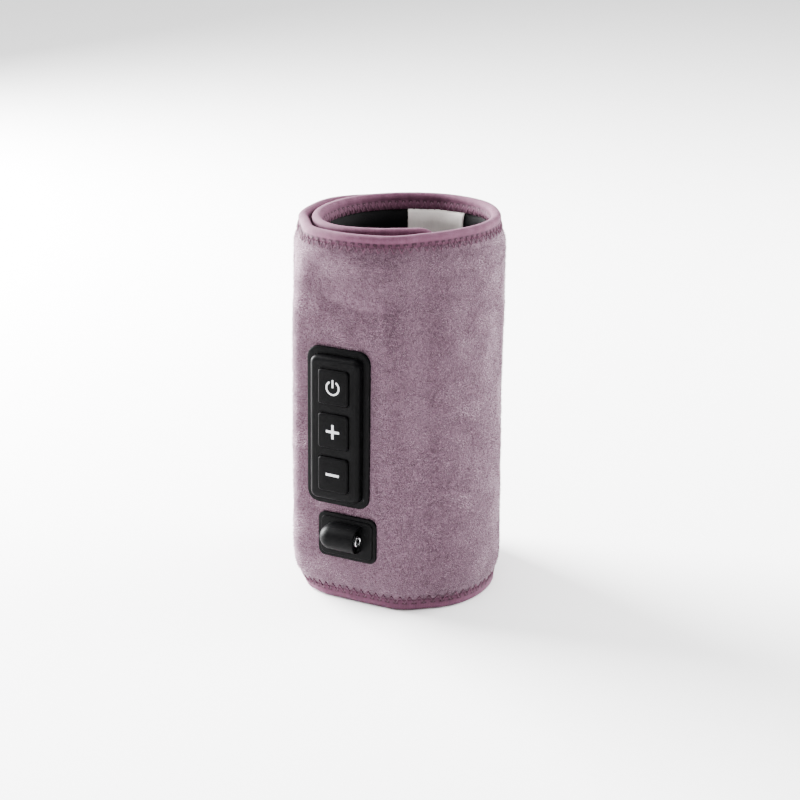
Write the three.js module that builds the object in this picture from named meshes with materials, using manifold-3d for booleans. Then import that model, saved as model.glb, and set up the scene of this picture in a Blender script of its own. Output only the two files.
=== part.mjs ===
// Leg massager: a padded fleece wrap, rolled one and a half turns round the place of a calf,
// with a three-key control unit and a charging inlet on its outer turn.
// Millimetres, +Z up. The wrap stands on its lower binding at z = 0, the key panel faces -Y.
import * as THREE from "three";
import { mergeVertices } from "three/addons/utils/BufferGeometryUtils.js";
import Module from "manifold-3d";

const wasm = await Module();
wasm.setup();

// Driving dimensions of the wrap
const wrapHeight = 200;
const rollRadius = 50;
const cornerRadius = 12;
const padThickness = 8;
const fitGap = 0.3;
const smallGap = 0.1;
const mergeTolerance = 0.0005;
const gridPitch = 8;
const evenStart = 20;

// The roll seen from above: [turn in degrees clockwise from the near side, radius share]
const rollShares = [
  [-32, 0.775], [-16, 0.77], [0, 0.775], [20, 0.85], [40, 0.91], [62, 0.9], [90, 0.83],
  [120, 0.785], [150, 0.79], [180, 0.83], [210, 0.915], [240, 1], [270, 0.99], [300, 1.01],
  [330, 1.045], [350, 1.08], [368, 1.12], [388, 1.16], [405, 1.155], [422, 1.075],
  [442, 1.045], [465, 0.98], [490, 0.98], [515, 0.995], [535, 1],
];
const panelAngle = 388;
const hingeAngle = 445;

// Depths through the padding, as shares of its thickness, outward positive
const fleeceOuter = padThickness * 0.625;
const fleeceInner = padThickness * 0.275;
const foamOuter = padThickness * 0.225;
const foamInner = padThickness * -0.2;
const liningOuter = padThickness * -0.25;
const liningInner = padThickness * -0.375;
const edgeFleeceOuter = padThickness * 0.15;
const edgeFleeceInner = padThickness * 0.02;
const edgeLiningOuter = padThickness * -0.02;
const edgeLiningInner = padThickness * -0.15;

// Binding sewn round the edge
const bindingLeg = 8.4;
const bindingHalf = 2.5;
const bindingFlat = 1.2;
const bindingCloth = 0.7;
const bindingRim = 3.6;
const clothInset = 1.9;
const swellReach = 7;
const swellShares = [0.3, 1];

// Flat seat that the rigid units pull into the roll
const seatHalfWidth = 21.5;
const seatFade = 22;
const seatTopFade = 52;
const seatTop = wrapHeight - seatTopFade;
const seatRimShare = 0.35;

// Slack of the near right side, which stands out at the foot and leans in at the rim
const slackAngle = 330;
const slackReach = 60;
const slackFoot = 12.1;
const slackRim = -3.9;

// Tuck at the foot beside the panel, where the edge is drawn in
const tuckAngle = 415.5;
const tuckReach = 20;
const tuckTop = 30;
const tuckDepth = 4.3;

// Flare of the inner turn's rim, which leans out against the outer turn
const flareAngles = [20, 55, 205, 260];
const flareTop = bindingLeg + swellReach;
const flareDepth = 2.6;

// Control unit
const flangeRadius = 6.5;
const flangeThickness = 1.5;
const unitDrop = 1.9;
const unitCentre = wrapHeight / 2 - unitDrop;
const caseWidth = 28.6;
const caseHeight = 77.8;
const flangeSide = 3.8;
const flangeEnd = 3.9;
const flangeWidth = caseWidth + flangeSide * 2;
const flangeHeight = caseHeight + flangeEnd * 2;
const caseRadius = 3.8;
const caseWall = 1.5;
const caseRise = 4.4;
const caseBevel = 2.2;
const caseJoint = 1.6;
const caseBack = -6.6;
const backRimThickness = 1.4;
const keySide = 5.6;
const keyEnd = 5.75;
const keyGap = 4.95;
const keyDrop = 0.3;
const keyWidth = caseWidth - keySide * 2;
const keyHeight = (caseHeight - (keyEnd + keyGap) * 2) / 3;
const keyRadius = 1.8;
const keyPitch = keyHeight + keyGap;
const keyCentre = unitCentre - keyDrop;
const keyProud = 1.3;
const keyLip = 0.6;
const keyLipThickness = 0.9;
const keyTravel = 0.8;
const stemRadius = 1.6;
const boardSide = 5;
const boardEnd = 9.3;
const boardWidth = caseWidth - boardSide * 2;
const boardHeight = caseHeight - boardEnd * 2;
const boardThickness = 1.2;
const switchSize = 6;
const switchHeight = 3.1;
const switchButton = 1.6;
const switchButtonHeight = 0.9;
const cellSide = 0.5;
const cellEnd = 3;
const cellWidth = boardWidth - cellSide * 2;
const cellHeight = boardHeight - cellEnd * 2;
const cellThickness = 3.8;
const screwSide = 3.1;
const screwEnd = 1;
const screwSpreadX = caseWidth / 2 - screwSide;
const screwSpreadZ = boardHeight / 2 - screwEnd;
const bossRadius = 1.6;
const screwRadius = 0.75;
const screwHeadRadius = 1.35;
const screwHeadHeight = 0.9;
const screwLength = 8.6;

// Charging inlet
const plateWidth = 34;
const plateHeight = 24.8;
const plateRadius = 4;
const plateThickness = 1.2;
const plateStep = 0.7;
const plateStepInset = 1.8;
const plateCentreX = 5.4;
const plateGap = 5;
const plateCentreZ = unitCentre - (flangeHeight + plateHeight) / 2 - plateGap;
const housingRise = 1.2;
const housingCentreZ = plateCentreZ + housingRise;
const housingRadius = 6.8;
const housingLift = 3.2;
const housingWall = 1.4;
const housingBack = 6.3;
const housingFront = 9;
const jackRadius = 3.7;
const jackLength = 12.4;
const jackLift = 3.9;
const ringRadius = 2.9;
const ringBore = 1.95;
const ringLength = 8.6;
const ringProud = 0.5;
const pinRadius = 0.65;
const pinLength = 12;
const pegRadius = 1.5;
const pegSpread = 12;
const clampWidth = 28;
const clampHeight = 17;
const clampThickness = 1.2;
const leadRadius = 1.1;
const leadBack = 10.2;

// Vibration motors in the padding
const motorAngles = [62, 158, 240];
const motorHeight = wrapHeight / 2;
const motorRadius = 6;
const motorThickness = 2.7;
const motorWall = 0.5;
const motorSink = 1.4;
const shaftRadius = 0.5;
const rotorThickness = 1.1;
const rotorHubRadius = 1.5;
const ribbonDrop = 9.5;
const ribbonWidth = 2.4;
const ribbonOuter = -0.5;
const ribbonInner = -1.3;
const grooveOuter = -0.1;

// Sewn-on pieces
const tagAngle = 182;
const tagWidth = 34;
const tagHeight = 46;
const tagThickness = 0.5;
const hookWidth = 26;
const hookInset = 14;
const hookEnd = 30;
const hookHeight = wrapHeight - hookEnd * 2;
const hookThickness = 1;

// Round shapes, in segments
const fineSegments = 24;
const roundSegments = 16;
const smallSegments = 10;
const cornerSegments = 4;

// Colours as photographed
const fleeceColour = 0x8f7784;
const bindingColour = 0x96698a;
const liningColour = 0x141315;
const foamColour = 0xd9d4c4;
const blackColour = 0x1f1f21;
const keyColour = 0x262628;
const steelColour = 0xc9c9cc;
const tagColour = 0xd8d2c8;
const boardColour = 0x1f5a38;
const cellColour = 0x9aa4ad;

function material(colour, roughness, metalness) {
  return new THREE.MeshStandardMaterial({ color: colour, roughness, metalness });
}
const fleece = () => material(fleeceColour, 1, 0);
const bindingCloths = () => material(bindingColour, 0.8, 0);
const lining = () => material(liningColour, 0.6, 0);
const foam = () => material(foamColour, 1, 0);
const blackPlastic = () => material(blackColour, 0.5, 0);
const keyPlastic = () => material(keyColour, 0.55, 0);
const steel = () => material(steelColour, 0.25, 1);
const satin = () => material(tagColour, 0.45, 0);
const boardGlass = () => material(boardColour, 0.5, 0);
const cellFoil = () => material(cellColour, 0.35, 0.4);
const hook = () => material(liningColour, 0.9, 0);

// Closed solids
function solid(geometry) {
  const bare = geometry.clone();
  bare.deleteAttribute("normal");
  bare.deleteAttribute("uv");
  const merged = mergeVertices(bare, mergeTolerance);
  const vertProperties = new Float32Array(merged.attributes.position.array);
  const triVerts = new Uint32Array(merged.index.array);
  return new wasm.Manifold(new wasm.Mesh({ numProp: 3, vertProperties, triVerts }));
}

function cut(body, tools) {
  let left = body;
  for (const tool of tools) left = left.subtract(tool);
  return left;
}

function join(bodies) {
  let whole = bodies[0];
  for (const body of bodies.slice(1)) whole = whole.add(body);
  return whole;
}

function meshOf(name, body, look) {
  const data = body.getMesh();
  const geometry = new THREE.BufferGeometry();
  const points = new Float32Array(data.vertProperties);
  geometry.setAttribute("position", new THREE.BufferAttribute(points, 3));
  geometry.setIndex(new THREE.BufferAttribute(new Uint32Array(data.triVerts), 1));
  geometry.computeVertexNormals();
  const mesh = new THREE.Mesh(geometry, look);
  mesh.name = name;
  return mesh;
}

// The roll's path, turned so that the key panel's normal is -Y
function pathPoint(turn, share) {
  const angle = THREE.MathUtils.degToRad(turn);
  const radius = rollRadius * share;
  return new THREE.Vector3(-Math.sin(angle) * radius, -Math.cos(angle) * radius, 0);
}

function makeCurve(points) {
  const curve = new THREE.CatmullRomCurve3(points, false, "centripetal");
  curve.arcLengthDivisions = 2400;
  return curve;
}

function stationOf(curve, turn) {
  const lengths = curve.getLengths();
  const last = rollShares.length - 1;
  let span = 0;
  while (span < last - 1 && rollShares[span + 1][0] < turn) span += 1;
  const from = rollShares[span][0];
  const part = (turn - from) / (rollShares[span + 1][0] - from);
  const at = (span + part) / last * (lengths.length - 1);
  const low = Math.floor(at);
  const high = Math.min(low + 1, lengths.length - 1);
  return THREE.MathUtils.lerp(lengths[low], lengths[high], at - low);
}

function makeRoll() {
  const points = rollShares.map(([turn, share]) => pathPoint(turn, share));
  const draft = makeCurve(points);
  const station = stationOf(draft, panelAngle);
  const heading = draft.getTangentAt(station / draft.getLength());
  const turnBy = Math.PI - Math.atan2(heading.y, heading.x);
  const axis = new THREE.Vector3(0, 0, 1);
  const curve = makeCurve(points.map((point) => point.applyAxisAngle(axis, turnBy)));
  const length = curve.getLength();
  const panel = curve.getPointAt(station / length);
  return { curve, length, panelStation: station, panel };
}
const roll = makeRoll();
const sheetLength = roll.length;
const hingeStation = stationOf(roll.curve, hingeAngle);
const sheetCache = new Map();

function frameAt(station) {
  const key = station.toFixed(5);
  if (!sheetCache.has(key)) {
    const at = THREE.MathUtils.clamp(station / sheetLength, 0, 1);
    const centre = roll.curve.getPointAt(at);
    const along = roll.curve.getTangentAt(at);
    const out = new THREE.Vector3(-along.y, along.x, 0);
    sheetCache.set(key, { centre, along, out });
  }
  return sheetCache.get(key);
}

function seatShare(station, height) {
  const aside = Math.abs(station - roll.panelStation) - seatHalfWidth;
  const sideways = 1 - THREE.MathUtils.smoothstep(aside, 0, seatFade);
  const above = THREE.MathUtils.smoothstep(height - seatTop, 0, seatTopFade);
  return sideways * (1 - above * (1 - seatRimShare));
}

function slackAt(station, height) {
  const middle = stationOf(roll.curve, slackAngle);
  const aside = THREE.MathUtils.clamp(Math.abs(station - middle) / slackReach, 0, 1);
  const share = (1 + Math.cos(aside * Math.PI)) / 2;
  return share * THREE.MathUtils.lerp(slackFoot, slackRim, height / wrapHeight);
}

function tuckAt(station, height) {
  const middle = stationOf(roll.curve, tuckAngle);
  const aside = THREE.MathUtils.clamp(Math.abs(station - middle) / tuckReach, 0, 1);
  const low = 1 - THREE.MathUtils.clamp(height / tuckTop, 0, 1);
  return (1 + Math.cos(aside * Math.PI)) / 2 * low * low * tuckDepth;
}

function flareAt(station, height) {
  const [start, full, fading, end] = flareAngles.map((turn) => stationOf(roll.curve, turn));
  const rise = THREE.MathUtils.smoothstep(station, start, full);
  const fall = THREE.MathUtils.smoothstep(station, fading, end);
  const high = THREE.MathUtils.smoothstep(height, wrapHeight - flareTop, wrapHeight);
  return rise * (1 - fall) * high * flareDepth;
}

// A place on the sheet: station along it, height, and depth outward from its middle
function onSheet(station, height, depth) {
  const { centre, out } = frameAt(station);
  const level = depth - tuckAt(station, height) + flareAt(station, height);
  const point = centre.clone().addScaledVector(out, level + slackAt(station, height));
  const share = seatShare(station, height);
  const flat = roll.panel.y - level;
  point.y = THREE.MathUtils.lerp(point.y, flat, share);
  point.z = height;
  return point;
}

// Distance in from the wrap's rounded outline
function edgeDistance(station, height) {
  const halfLength = sheetLength / 2 - cornerRadius;
  const halfHeight = wrapHeight / 2 - cornerRadius;
  const beyondX = Math.abs(station - sheetLength / 2) - halfLength;
  const beyondZ = Math.abs(height - wrapHeight / 2) - halfHeight;
  const outside = Math.hypot(Math.max(beyondX, 0), Math.max(beyondZ, 0));
  return cornerRadius - outside - Math.min(Math.max(beyondX, beyondZ), 0);
}

function swell(edge, full) {
  return (station, height) => {
    const inward = (edgeDistance(station, height) - bindingLeg - fitGap * 2) / swellReach;
    const rise = 1 - THREE.MathUtils.clamp(inward, 0, 1);
    return THREE.MathUtils.lerp(edge, full, Math.sqrt(Math.max(1 - rise * rise, 0)));
  };
}

const even = (depth) => () => depth;

// Stations along a stretch: an even run that all the layers share, and closer ones round the ends
function stationsOf(from, to, inset) {
  const radius = Math.max(cornerRadius - inset, 0);
  const marks = [];
  for (let step = 0; step <= cornerSegments; step += 1) {
    const back = radius * (1 - Math.sin(step / cornerSegments * Math.PI / 2));
    marks.push(inset + back, sheetLength - inset - back);
  }
  marks.push(bindingLeg + swellReach, sheetLength - bindingLeg - swellReach);
  const count = Math.round((sheetLength - evenStart * 2) / gridPitch);
  for (let step = 0; step <= count; step += 1) {
    marks.push(evenStart + (sheetLength - evenStart * 2) * step / count);
  }
  for (const aside of [seatHalfWidth, seatHalfWidth + seatFade / 2, seatHalfWidth + seatFade]) {
    marks.push(roll.panelStation - aside, roll.panelStation + aside);
  }
  const least = gridPitch / 20;
  const inner = marks.filter((mark) => mark > from + least && mark < to - least);
  const sorted = [from, ...inner.sort((low, high) => low - high), to];
  return sorted.filter((mark, index) => index === 0 || mark - sorted[index - 1] > least);
}

function halfHeightAt(station, inset) {
  const radius = Math.max(cornerRadius - inset, 0);
  const fromEnd = Math.min(station, sheetLength - station) - inset;
  const short = THREE.MathUtils.clamp(radius - fromEnd, 0, radius);
  return wrapHeight / 2 - inset - radius + Math.sqrt(radius * radius - short * short);
}

// The back face of a flat grid split along the same diagonals as its front face
function matchDiagonals(geometry) {
  const { start, count } = geometry.groups[5];
  const corners = geometry.index.array;
  for (let first = start; first < start + count; first += 6) {
    const [a, b, d, , c] = corners.slice(first, first + 6);
    corners.set([a, b, c, a, c, d], first);
  }
}

// A layer of the wrap between two faces, mapped from a flat grid onto the roll
function layer(stations, heights, outer, inner, inset) {
  const columns = stations.length - 1;
  const rows = heights.length - 1;
  const geometry = new THREE.BoxGeometry(1, 1, 1, columns, rows, 1);
  const position = geometry.attributes.position;
  const middle = wrapHeight / 2;
  const fullHalf = middle - inset;
  matchDiagonals(geometry);
  for (let index = 0; index < position.count; index += 1) {
    const column = Math.round((0.5 - position.getX(index)) * columns);
    const row = Math.round((0.5 + position.getY(index)) * rows);
    const station = stations[column];
    const rounded = inset < 0 ? 1 : halfHeightAt(station, inset) / fullHalf;
    const height = middle + (heights[row] - middle) * rounded;
    const face = position.getZ(index) > 0 ? outer : inner;
    const point = onSheet(station, height, face(station, height));
    position.setXYZ(index, point.x, point.y, point.z);
  }
  return solid(geometry);
}

function patch(from, to, low, high, outer, inner) {
  return layer(stationsOf(from, to, 0), [low, high], even(outer), even(inner), -1);
}

function seatHeights() {
  return [seatTop, seatTop + seatTopFade / 4, seatTop + seatTopFade / 2];
}

function clothHeights() {
  const steps = [clothInset, bindingLeg + fitGap, ...swellShares.map((share) => bindingLeg + swellReach * share)];
  const upper = steps.map((step) => wrapHeight - step).reverse();
  return [...steps, tuckTop, ...seatHeights().filter((z) => z < upper[0]), ...upper];
}

// Shapes of the rigid units, drawn in the panel's plane: x to the right, y up, z outward
function roundedShape(width, height, radius) {
  const x = width / 2;
  const y = height / 2;
  const shape = new THREE.Shape();
  shape.moveTo(radius - x, -y);
  shape.lineTo(x - radius, -y);
  shape.absarc(x - radius, radius - y, radius, -Math.PI / 2, 0, false);
  shape.lineTo(x, y - radius);
  shape.absarc(x - radius, y - radius, radius, 0, Math.PI / 2, false);
  shape.lineTo(radius - x, y);
  shape.absarc(radius - x, y - radius, radius, Math.PI / 2, Math.PI, false);
  shape.lineTo(-x, radius - y);
  shape.absarc(radius - x, radius - y, radius, Math.PI, Math.PI * 1.5, false);
  return shape;
}

function slab(width, height, radius, low, high) {
  const options = { depth: high - low, bevelEnabled: false, curveSegments: cornerSegments };
  const geometry = new THREE.ExtrudeGeometry(roundedShape(width, height, radius), options);
  return solid(geometry.translate(0, 0, low));
}

function bevelled(width, height, radius, low, high, bevel) {
  const shape = roundedShape(width - bevel * 2, height - bevel * 2, radius - bevel * 0.6);
  const options = { depth: high - low - bevel, bevelThickness: bevel, bevelSize: bevel,
    bevelSegments: 2, curveSegments: cornerSegments };
  const geometry = new THREE.ExtrudeGeometry(shape, options);
  const whole = solid(geometry.translate(0, 0, low));
  return whole.subtract(slab(width * 2, height * 2, radius, low - bevel * 2, low));
}

function post(radius, low, high, segments = roundSegments) {
  const geometry = new THREE.CylinderGeometry(radius, radius, high - low, segments);
  return solid(geometry.rotateX(Math.PI / 2).translate(0, 0, (low + high) / 2));
}

function bar(radius, from, to, segments = roundSegments) {
  const geometry = new THREE.CylinderGeometry(radius, radius, to - from, segments);
  return solid(geometry.rotateZ(Math.PI / 2).translate((from + to) / 2, 0, 0));
}

function tube(points, radius) {
  const path = new THREE.CatmullRomCurve3(points, false, "centripetal");
  const shape = new THREE.Shape();
  shape.absarc(0, 0, radius, 0, Math.PI * 2, false);
  const options = { steps: roundSegments, bevelEnabled: false, extrudePath: path,
    curveSegments: smallSegments };
  return solid(new THREE.ExtrudeGeometry(shape, options));
}

const at = (body, x, y, z = 0) => body.translate([x, y, z]);

// From the panel's plane to its place on the roll, with y as the height
function onPanel(body) {
  const turned = body.rotate([90, 0, 0]);
  return turned.translate([roll.panel.x, roll.panel.y, 0]);
}

function onMotor(body, turn) {
  const station = stationOf(roll.curve, turn);
  const { out } = frameAt(station);
  const centre = onSheet(station, motorHeight, 0);
  const angle = THREE.MathUtils.radToDeg(Math.atan2(out.y, out.x)) + 90;
  const turned = body.rotate([90, 0, 0]).rotate([0, 0, angle]);
  return turned.translate([centre.x, centre.y, motorHeight]);
}

// Levels of the control unit and the inlet, outward from the sheet's middle
const flangeLow = fleeceOuter + fitGap;
const flangeHigh = flangeLow + flangeThickness;
const caseTop = flangeHigh + caseRise;
const keyOffsets = [keyPitch, 0, -keyPitch];
const keyNames = ["power", "plus", "minus"];
const plateTop = flangeLow + plateThickness + plateStep;
const housingAxis = plateTop + housingLift;
const jackAxis = plateTop + jackLift;
const backRimLow = liningInner - fitGap - backRimThickness;

// Openings that the units pass through
function sheetOpenings() {
  const window = slab(caseWidth + fitGap * 2, caseHeight + fitGap * 2, caseRadius, -rollRadius / 3,
    rollRadius / 3);
  const tools = [onPanel(at(window, 0, unitCentre))];
  for (const side of [-1, 1]) {
    const peg = post(pegRadius + fitGap, -rollRadius / 3, rollRadius / 3, smallSegments);
    tools.push(onPanel(at(peg, plateCentreX + side * pegSpread, plateCentreZ)));
  }
  const leadHole = post(leadRadius + fitGap * 2, grooveOuter, rollRadius / 3, smallSegments);
  tools.push(onPanel(at(leadHole, plateCentreX - leadBack, housingCentreZ)));
  return tools;
}

function leadPath() {
  const x = plateCentreX - leadBack;
  const start = plateCentreX + jackFront - jackLength - fitGap * 2;
  const out = jackAxis;
  const inside = (foamOuter + foamInner) / 2;
  const top = unitCentre - caseHeight / 2 + caseWall * 2;
  const z = housingCentreZ;
  const bend = leadRadius * 2;
  const points = [[start, z, out], [start + (x - start) * 0.7, z, out - bend * 0.3], [x, z, out - bend],
    [x, z, plateTop], [x, z, inside + bend], [x, z + bend * 0.3, inside + bend * 0.3],
    [x, z + bend, inside], [x, top, inside]];
  return points.map(([right, up, outward]) => new THREE.Vector3(right, up, outward));
}

function leadChannel(outer, inner) {
  const x = plateCentreX - leadBack;
  const low = housingCentreZ - leadRadius * 2;
  const high = unitCentre - caseHeight / 2 + caseWall * 3;
  const width = (leadRadius + fitGap) * 2;
  return onPanel(at(slab(width, high - low, fitGap, inner, outer), x, (low + high) / 2));
}

function ribbonRun(extra, outer, inner) {
  const half = ribbonWidth / 2 + extra;
  const level = motorHeight - ribbonDrop;
  const last = roll.panelStation - caseWidth / 2 + caseWall + extra;
  const first = stationOf(roll.curve, motorAngles[0]);
  const bodies = [patch(first - half, last, level - half, level + half, outer, inner)];
  for (const turn of motorAngles) {
    const station = stationOf(roll.curve, turn);
    const top = motorHeight - motorRadius - fitGap + extra;
    bodies.push(patch(station - half, station + half, level, top, outer, inner));
  }
  return join(bodies);
}

function motorPockets() {
  const pocket = () => post(motorRadius + fitGap, -padThickness / 2, padThickness / 2);
  return motorAngles.map((turn) => onMotor(pocket(), turn));
}

// Cloth layers: the wrap up to the hinge line, and the flap beyond it
function stretch(part, inset) {
  const half = fitGap / 2;
  const isFlap = part === "flap";
  const from = isFlap ? hingeStation + half : inset;
  const to = isFlap ? sheetLength - inset : hingeStation - half;
  return stationsOf(from, to, inset);
}

function fleeceLayer(part) {
  const outer = swell(edgeFleeceOuter, fleeceOuter);
  const inner = swell(edgeFleeceInner, fleeceInner);
  const body = layer(stretch(part, clothInset), clothHeights(), outer, inner, clothInset);
  return part === "flap" ? body : cut(body, sheetOpenings());
}

function liningLayer(part) {
  const outer = swell(edgeLiningOuter, liningOuter);
  const inner = swell(edgeLiningInner, liningInner);
  const body = layer(stretch(part, clothInset), clothHeights(), outer, inner, clothInset);
  return part === "flap" ? body : cut(body, sheetOpenings().slice(0, 3));
}

function foamLayer(part) {
  const rim = bindingLeg + swellReach;
  const upper = wrapHeight - rim;
  const heights = [rim, tuckTop, ...seatHeights().filter((z) => z < upper), upper];
  const body = layer(stretch(part, rim), heights, even(foamOuter), even(foamInner), rim);
  if (part === "flap") return body;
  const groove = ribbonRun(fitGap, grooveOuter, foamInner - padThickness / 4);
  const tools = [...sheetOpenings(), ...motorPockets(), groove,
    leadChannel(padThickness, foamInner - padThickness / 4)];
  return cut(body, tools);
}

// Binding: a folded strip over the edge, with a leg down each face
function bindingShape() {
  const inner = bindingHalf - bindingCloth;
  const shape = new THREE.Shape();
  shape.moveTo(bindingLeg, bindingHalf);
  shape.lineTo(bindingLeg, inner);
  shape.lineTo(bindingCloth * 2, inner);
  shape.lineTo(bindingCloth * 2, -inner);
  shape.lineTo(bindingLeg, -inner);
  shape.lineTo(bindingLeg, -bindingHalf);
  shape.lineTo(bindingRim, -bindingHalf);
  shape.lineTo(bindingRim / 4, -bindingHalf * 0.86);
  shape.lineTo(0, -bindingFlat);
  shape.lineTo(0, bindingFlat);
  shape.lineTo(bindingRim / 4, bindingHalf * 0.86);
  shape.lineTo(bindingRim, bindingHalf);
  return shape;
}

function edgeStop(station, height, inwardX, inwardZ) {
  return { station, height, inwardX, inwardZ };
}

// Quarter turns of the edge, going with the travel that keeps the sheet on the left
function cornerStops(endSide, topSide, startAngle) {
  const stops = [];
  const centreX = endSide > 0 ? sheetLength - cornerRadius : cornerRadius;
  const centreZ = topSide > 0 ? wrapHeight - cornerRadius : cornerRadius;
  for (let step = 0; step <= cornerSegments + 1; step += 1) {
    const angle = startAngle - step / (cornerSegments + 1) * Math.PI / 2;
    const x = Math.cos(angle);
    const z = Math.sin(angle);
    stops.push(edgeStop(centreX + x * cornerRadius, centreZ + z * cornerRadius, -x, -z));
  }
  return stops;
}

function bindingStops(part) {
  const isFlap = part === "flap";
  const half = fitGap / 2;
  const from = isFlap ? hingeStation + half : cornerRadius;
  const to = isFlap ? sheetLength - cornerRadius : hingeStation - half;
  const run = stationsOf(from, to, 0);
  const inside = isFlap ? run.slice(0, -1) : run.slice(1);
  const top = inside.map((station) => edgeStop(station, wrapHeight, 0, -1));
  const bottom = [...inside].reverse().map((station) => edgeStop(station, 0, 0, 1));
  if (isFlap) {
    const upper = cornerStops(1, 1, Math.PI / 2);
    const lower = cornerStops(1, -1, 0);
    return [...top, ...upper, ...lower, ...bottom];
  }
  const lower = cornerStops(-1, -1, -Math.PI / 2);
  const upper = cornerStops(-1, 1, Math.PI);
  return [...bottom, ...lower, ...upper, ...top];
}

function bindingBody(part) {
  const stops = bindingStops(part);
  const steps = stops.length - 1;
  const options = { depth: steps, steps, bevelEnabled: false };
  const geometry = new THREE.ExtrudeGeometry(bindingShape(), options);
  const position = geometry.attributes.position;
  for (let index = 0; index < position.count; index += 1) {
    const stop = stops[Math.round(position.getZ(index))];
    const inward = position.getX(index);
    const station = stop.station + stop.inwardX * inward;
    const height = stop.height + stop.inwardZ * inward;
    const point = onSheet(station, height, position.getY(index));
    position.setXYZ(index, point.x, point.y, point.z);
  }
  return solid(geometry);
}

function careTag() {
  const from = stationOf(roll.curve, tagAngle);
  const top = wrapHeight - bindingLeg - fitGap;
  const outer = liningInner - fitGap;
  const stations = stationsOf(from, from + tagWidth, 0);
  const rows = swellShares.map((share) => wrapHeight - bindingLeg - swellReach * share).reverse();
  return layer(stations, [top - tagHeight, ...rows, top], even(outer), even(outer - tagThickness), -1);
}

function hookPatch() {
  const to = sheetLength - hookInset;
  const low = hookEnd;
  const outer = liningInner - fitGap;
  return patch(to - hookWidth, to, low, low + hookHeight, outer, outer - hookThickness);
}

// Control unit
function controlFlange() {
  const plate = slab(flangeWidth, flangeHeight, flangeRadius, flangeLow, flangeHigh);
  const window = slab(caseWidth + fitGap * 2, caseHeight + fitGap * 2, caseRadius, 0, caseTop);
  return onPanel(at(plate.subtract(window), 0, unitCentre));
}

function bossPlaces() {
  const places = [];
  for (const x of [-screwSpreadX, screwSpreadX]) {
    for (const y of [-screwSpreadZ, screwSpreadZ]) places.push([x, y]);
  }
  return places;
}

function frontCase() {
  const outer = bevelled(caseWidth, caseHeight, caseRadius, caseJoint, caseTop, caseBevel);
  const innerWidth = caseWidth - caseWall * 2;
  const innerHeight = caseHeight - caseWall * 2;
  const hollow = slab(innerWidth, innerHeight, caseRadius - caseWall / 2, caseJoint - caseWall,
    caseTop - caseWall);
  let shell = outer.subtract(hollow);
  for (const [x, y] of bossPlaces()) {
    const boss = at(post(bossRadius, caseJoint, caseTop - caseWall / 2, smallSegments), x, y);
    const pilot = at(post(screwRadius + smallGap / 2, caseJoint - caseWall, caseTop - caseWall * 1.4,
      smallSegments), x, y);
    shell = shell.add(boss).subtract(pilot);
  }
  for (const offset of keyOffsets) {
    const hole = slab(keyWidth + fitGap * 2, keyHeight + fitGap * 2, keyRadius + fitGap,
      caseTop - caseWall * 2, caseTop + caseWall);
    shell = shell.subtract(at(hole, 0, keyCentre + offset - unitCentre));
  }
  return onPanel(at(shell, 0, unitCentre));
}

function rearCase() {
  const joint = caseJoint - smallGap;
  const tub = slab(caseWidth, caseHeight, caseRadius, caseBack, joint);
  const rim = slab(flangeWidth, flangeHeight, flangeRadius, backRimLow, backRimLow + backRimThickness);
  const hollow = slab(caseWidth - caseWall * 2, caseHeight - caseWall * 2, caseRadius - caseWall / 2,
    caseBack + caseWall, joint + caseWall);
  let shell = tub.add(rim).subtract(hollow);
  for (const [x, y] of bossPlaces()) {
    const boss = at(post(bossRadius, caseBack + caseWall / 2, joint, smallSegments), x, y);
    const hole = at(post(screwRadius + fitGap, caseBack - caseWall, joint + caseWall, smallSegments), x, y);
    const recess = at(post(screwHeadRadius + fitGap, caseBack - caseWall, caseBack + screwHeadHeight,
      smallSegments), x, y);
    shell = shell.add(boss).subtract(hole).subtract(recess);
  }
  const notchX = plateCentreX - leadBack;
  const notch = slab((leadRadius + fitGap) * 2, caseWall * 4, fitGap, foamInner - fitGap, joint + caseWall);
  shell = shell.subtract(at(notch, notchX, -caseHeight / 2));
  const slotHeight = motorHeight - ribbonDrop - unitCentre;
  const slot = slab(caseWall * 4, ribbonWidth + fitGap * 2, fitGap, ribbonInner - fitGap, joint + caseWall);
  shell = shell.subtract(at(slot, caseWidth / 2, slotHeight));
  return onPanel(at(shell, 0, unitCentre));
}

function caseScrew([x, y]) {
  const low = caseBack;
  const head = post(screwHeadRadius, low, low + screwHeadHeight - smallGap, smallSegments);
  const shank = post(screwRadius, low + screwHeadHeight / 2, low + screwLength, smallSegments);
  return onPanel(at(head.add(shank), x, unitCentre + y));
}

const cellLow = caseBack + caseWall + smallGap;
const boardLow = cellLow + cellThickness + fitGap;
const boardHigh = boardLow + boardThickness;
const switchTop = boardHigh + switchHeight + switchButtonHeight;

function batteryCell() {
  return onPanel(at(slab(cellWidth, cellHeight, caseWall, cellLow, cellLow + cellThickness), 0, keyCentre));
}

function circuitBoard() {
  return onPanel(at(slab(boardWidth, boardHeight, caseWall, boardLow, boardHigh), 0, keyCentre));
}

function tactSwitch(offset) {
  const base = slab(switchSize, switchSize, smallGap, boardHigh, boardHigh + switchHeight);
  const button = post(switchButton, boardHigh + switchHeight / 2, switchTop, smallSegments);
  return onPanel(at(base.add(button), 0, keyCentre + offset));
}

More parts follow.
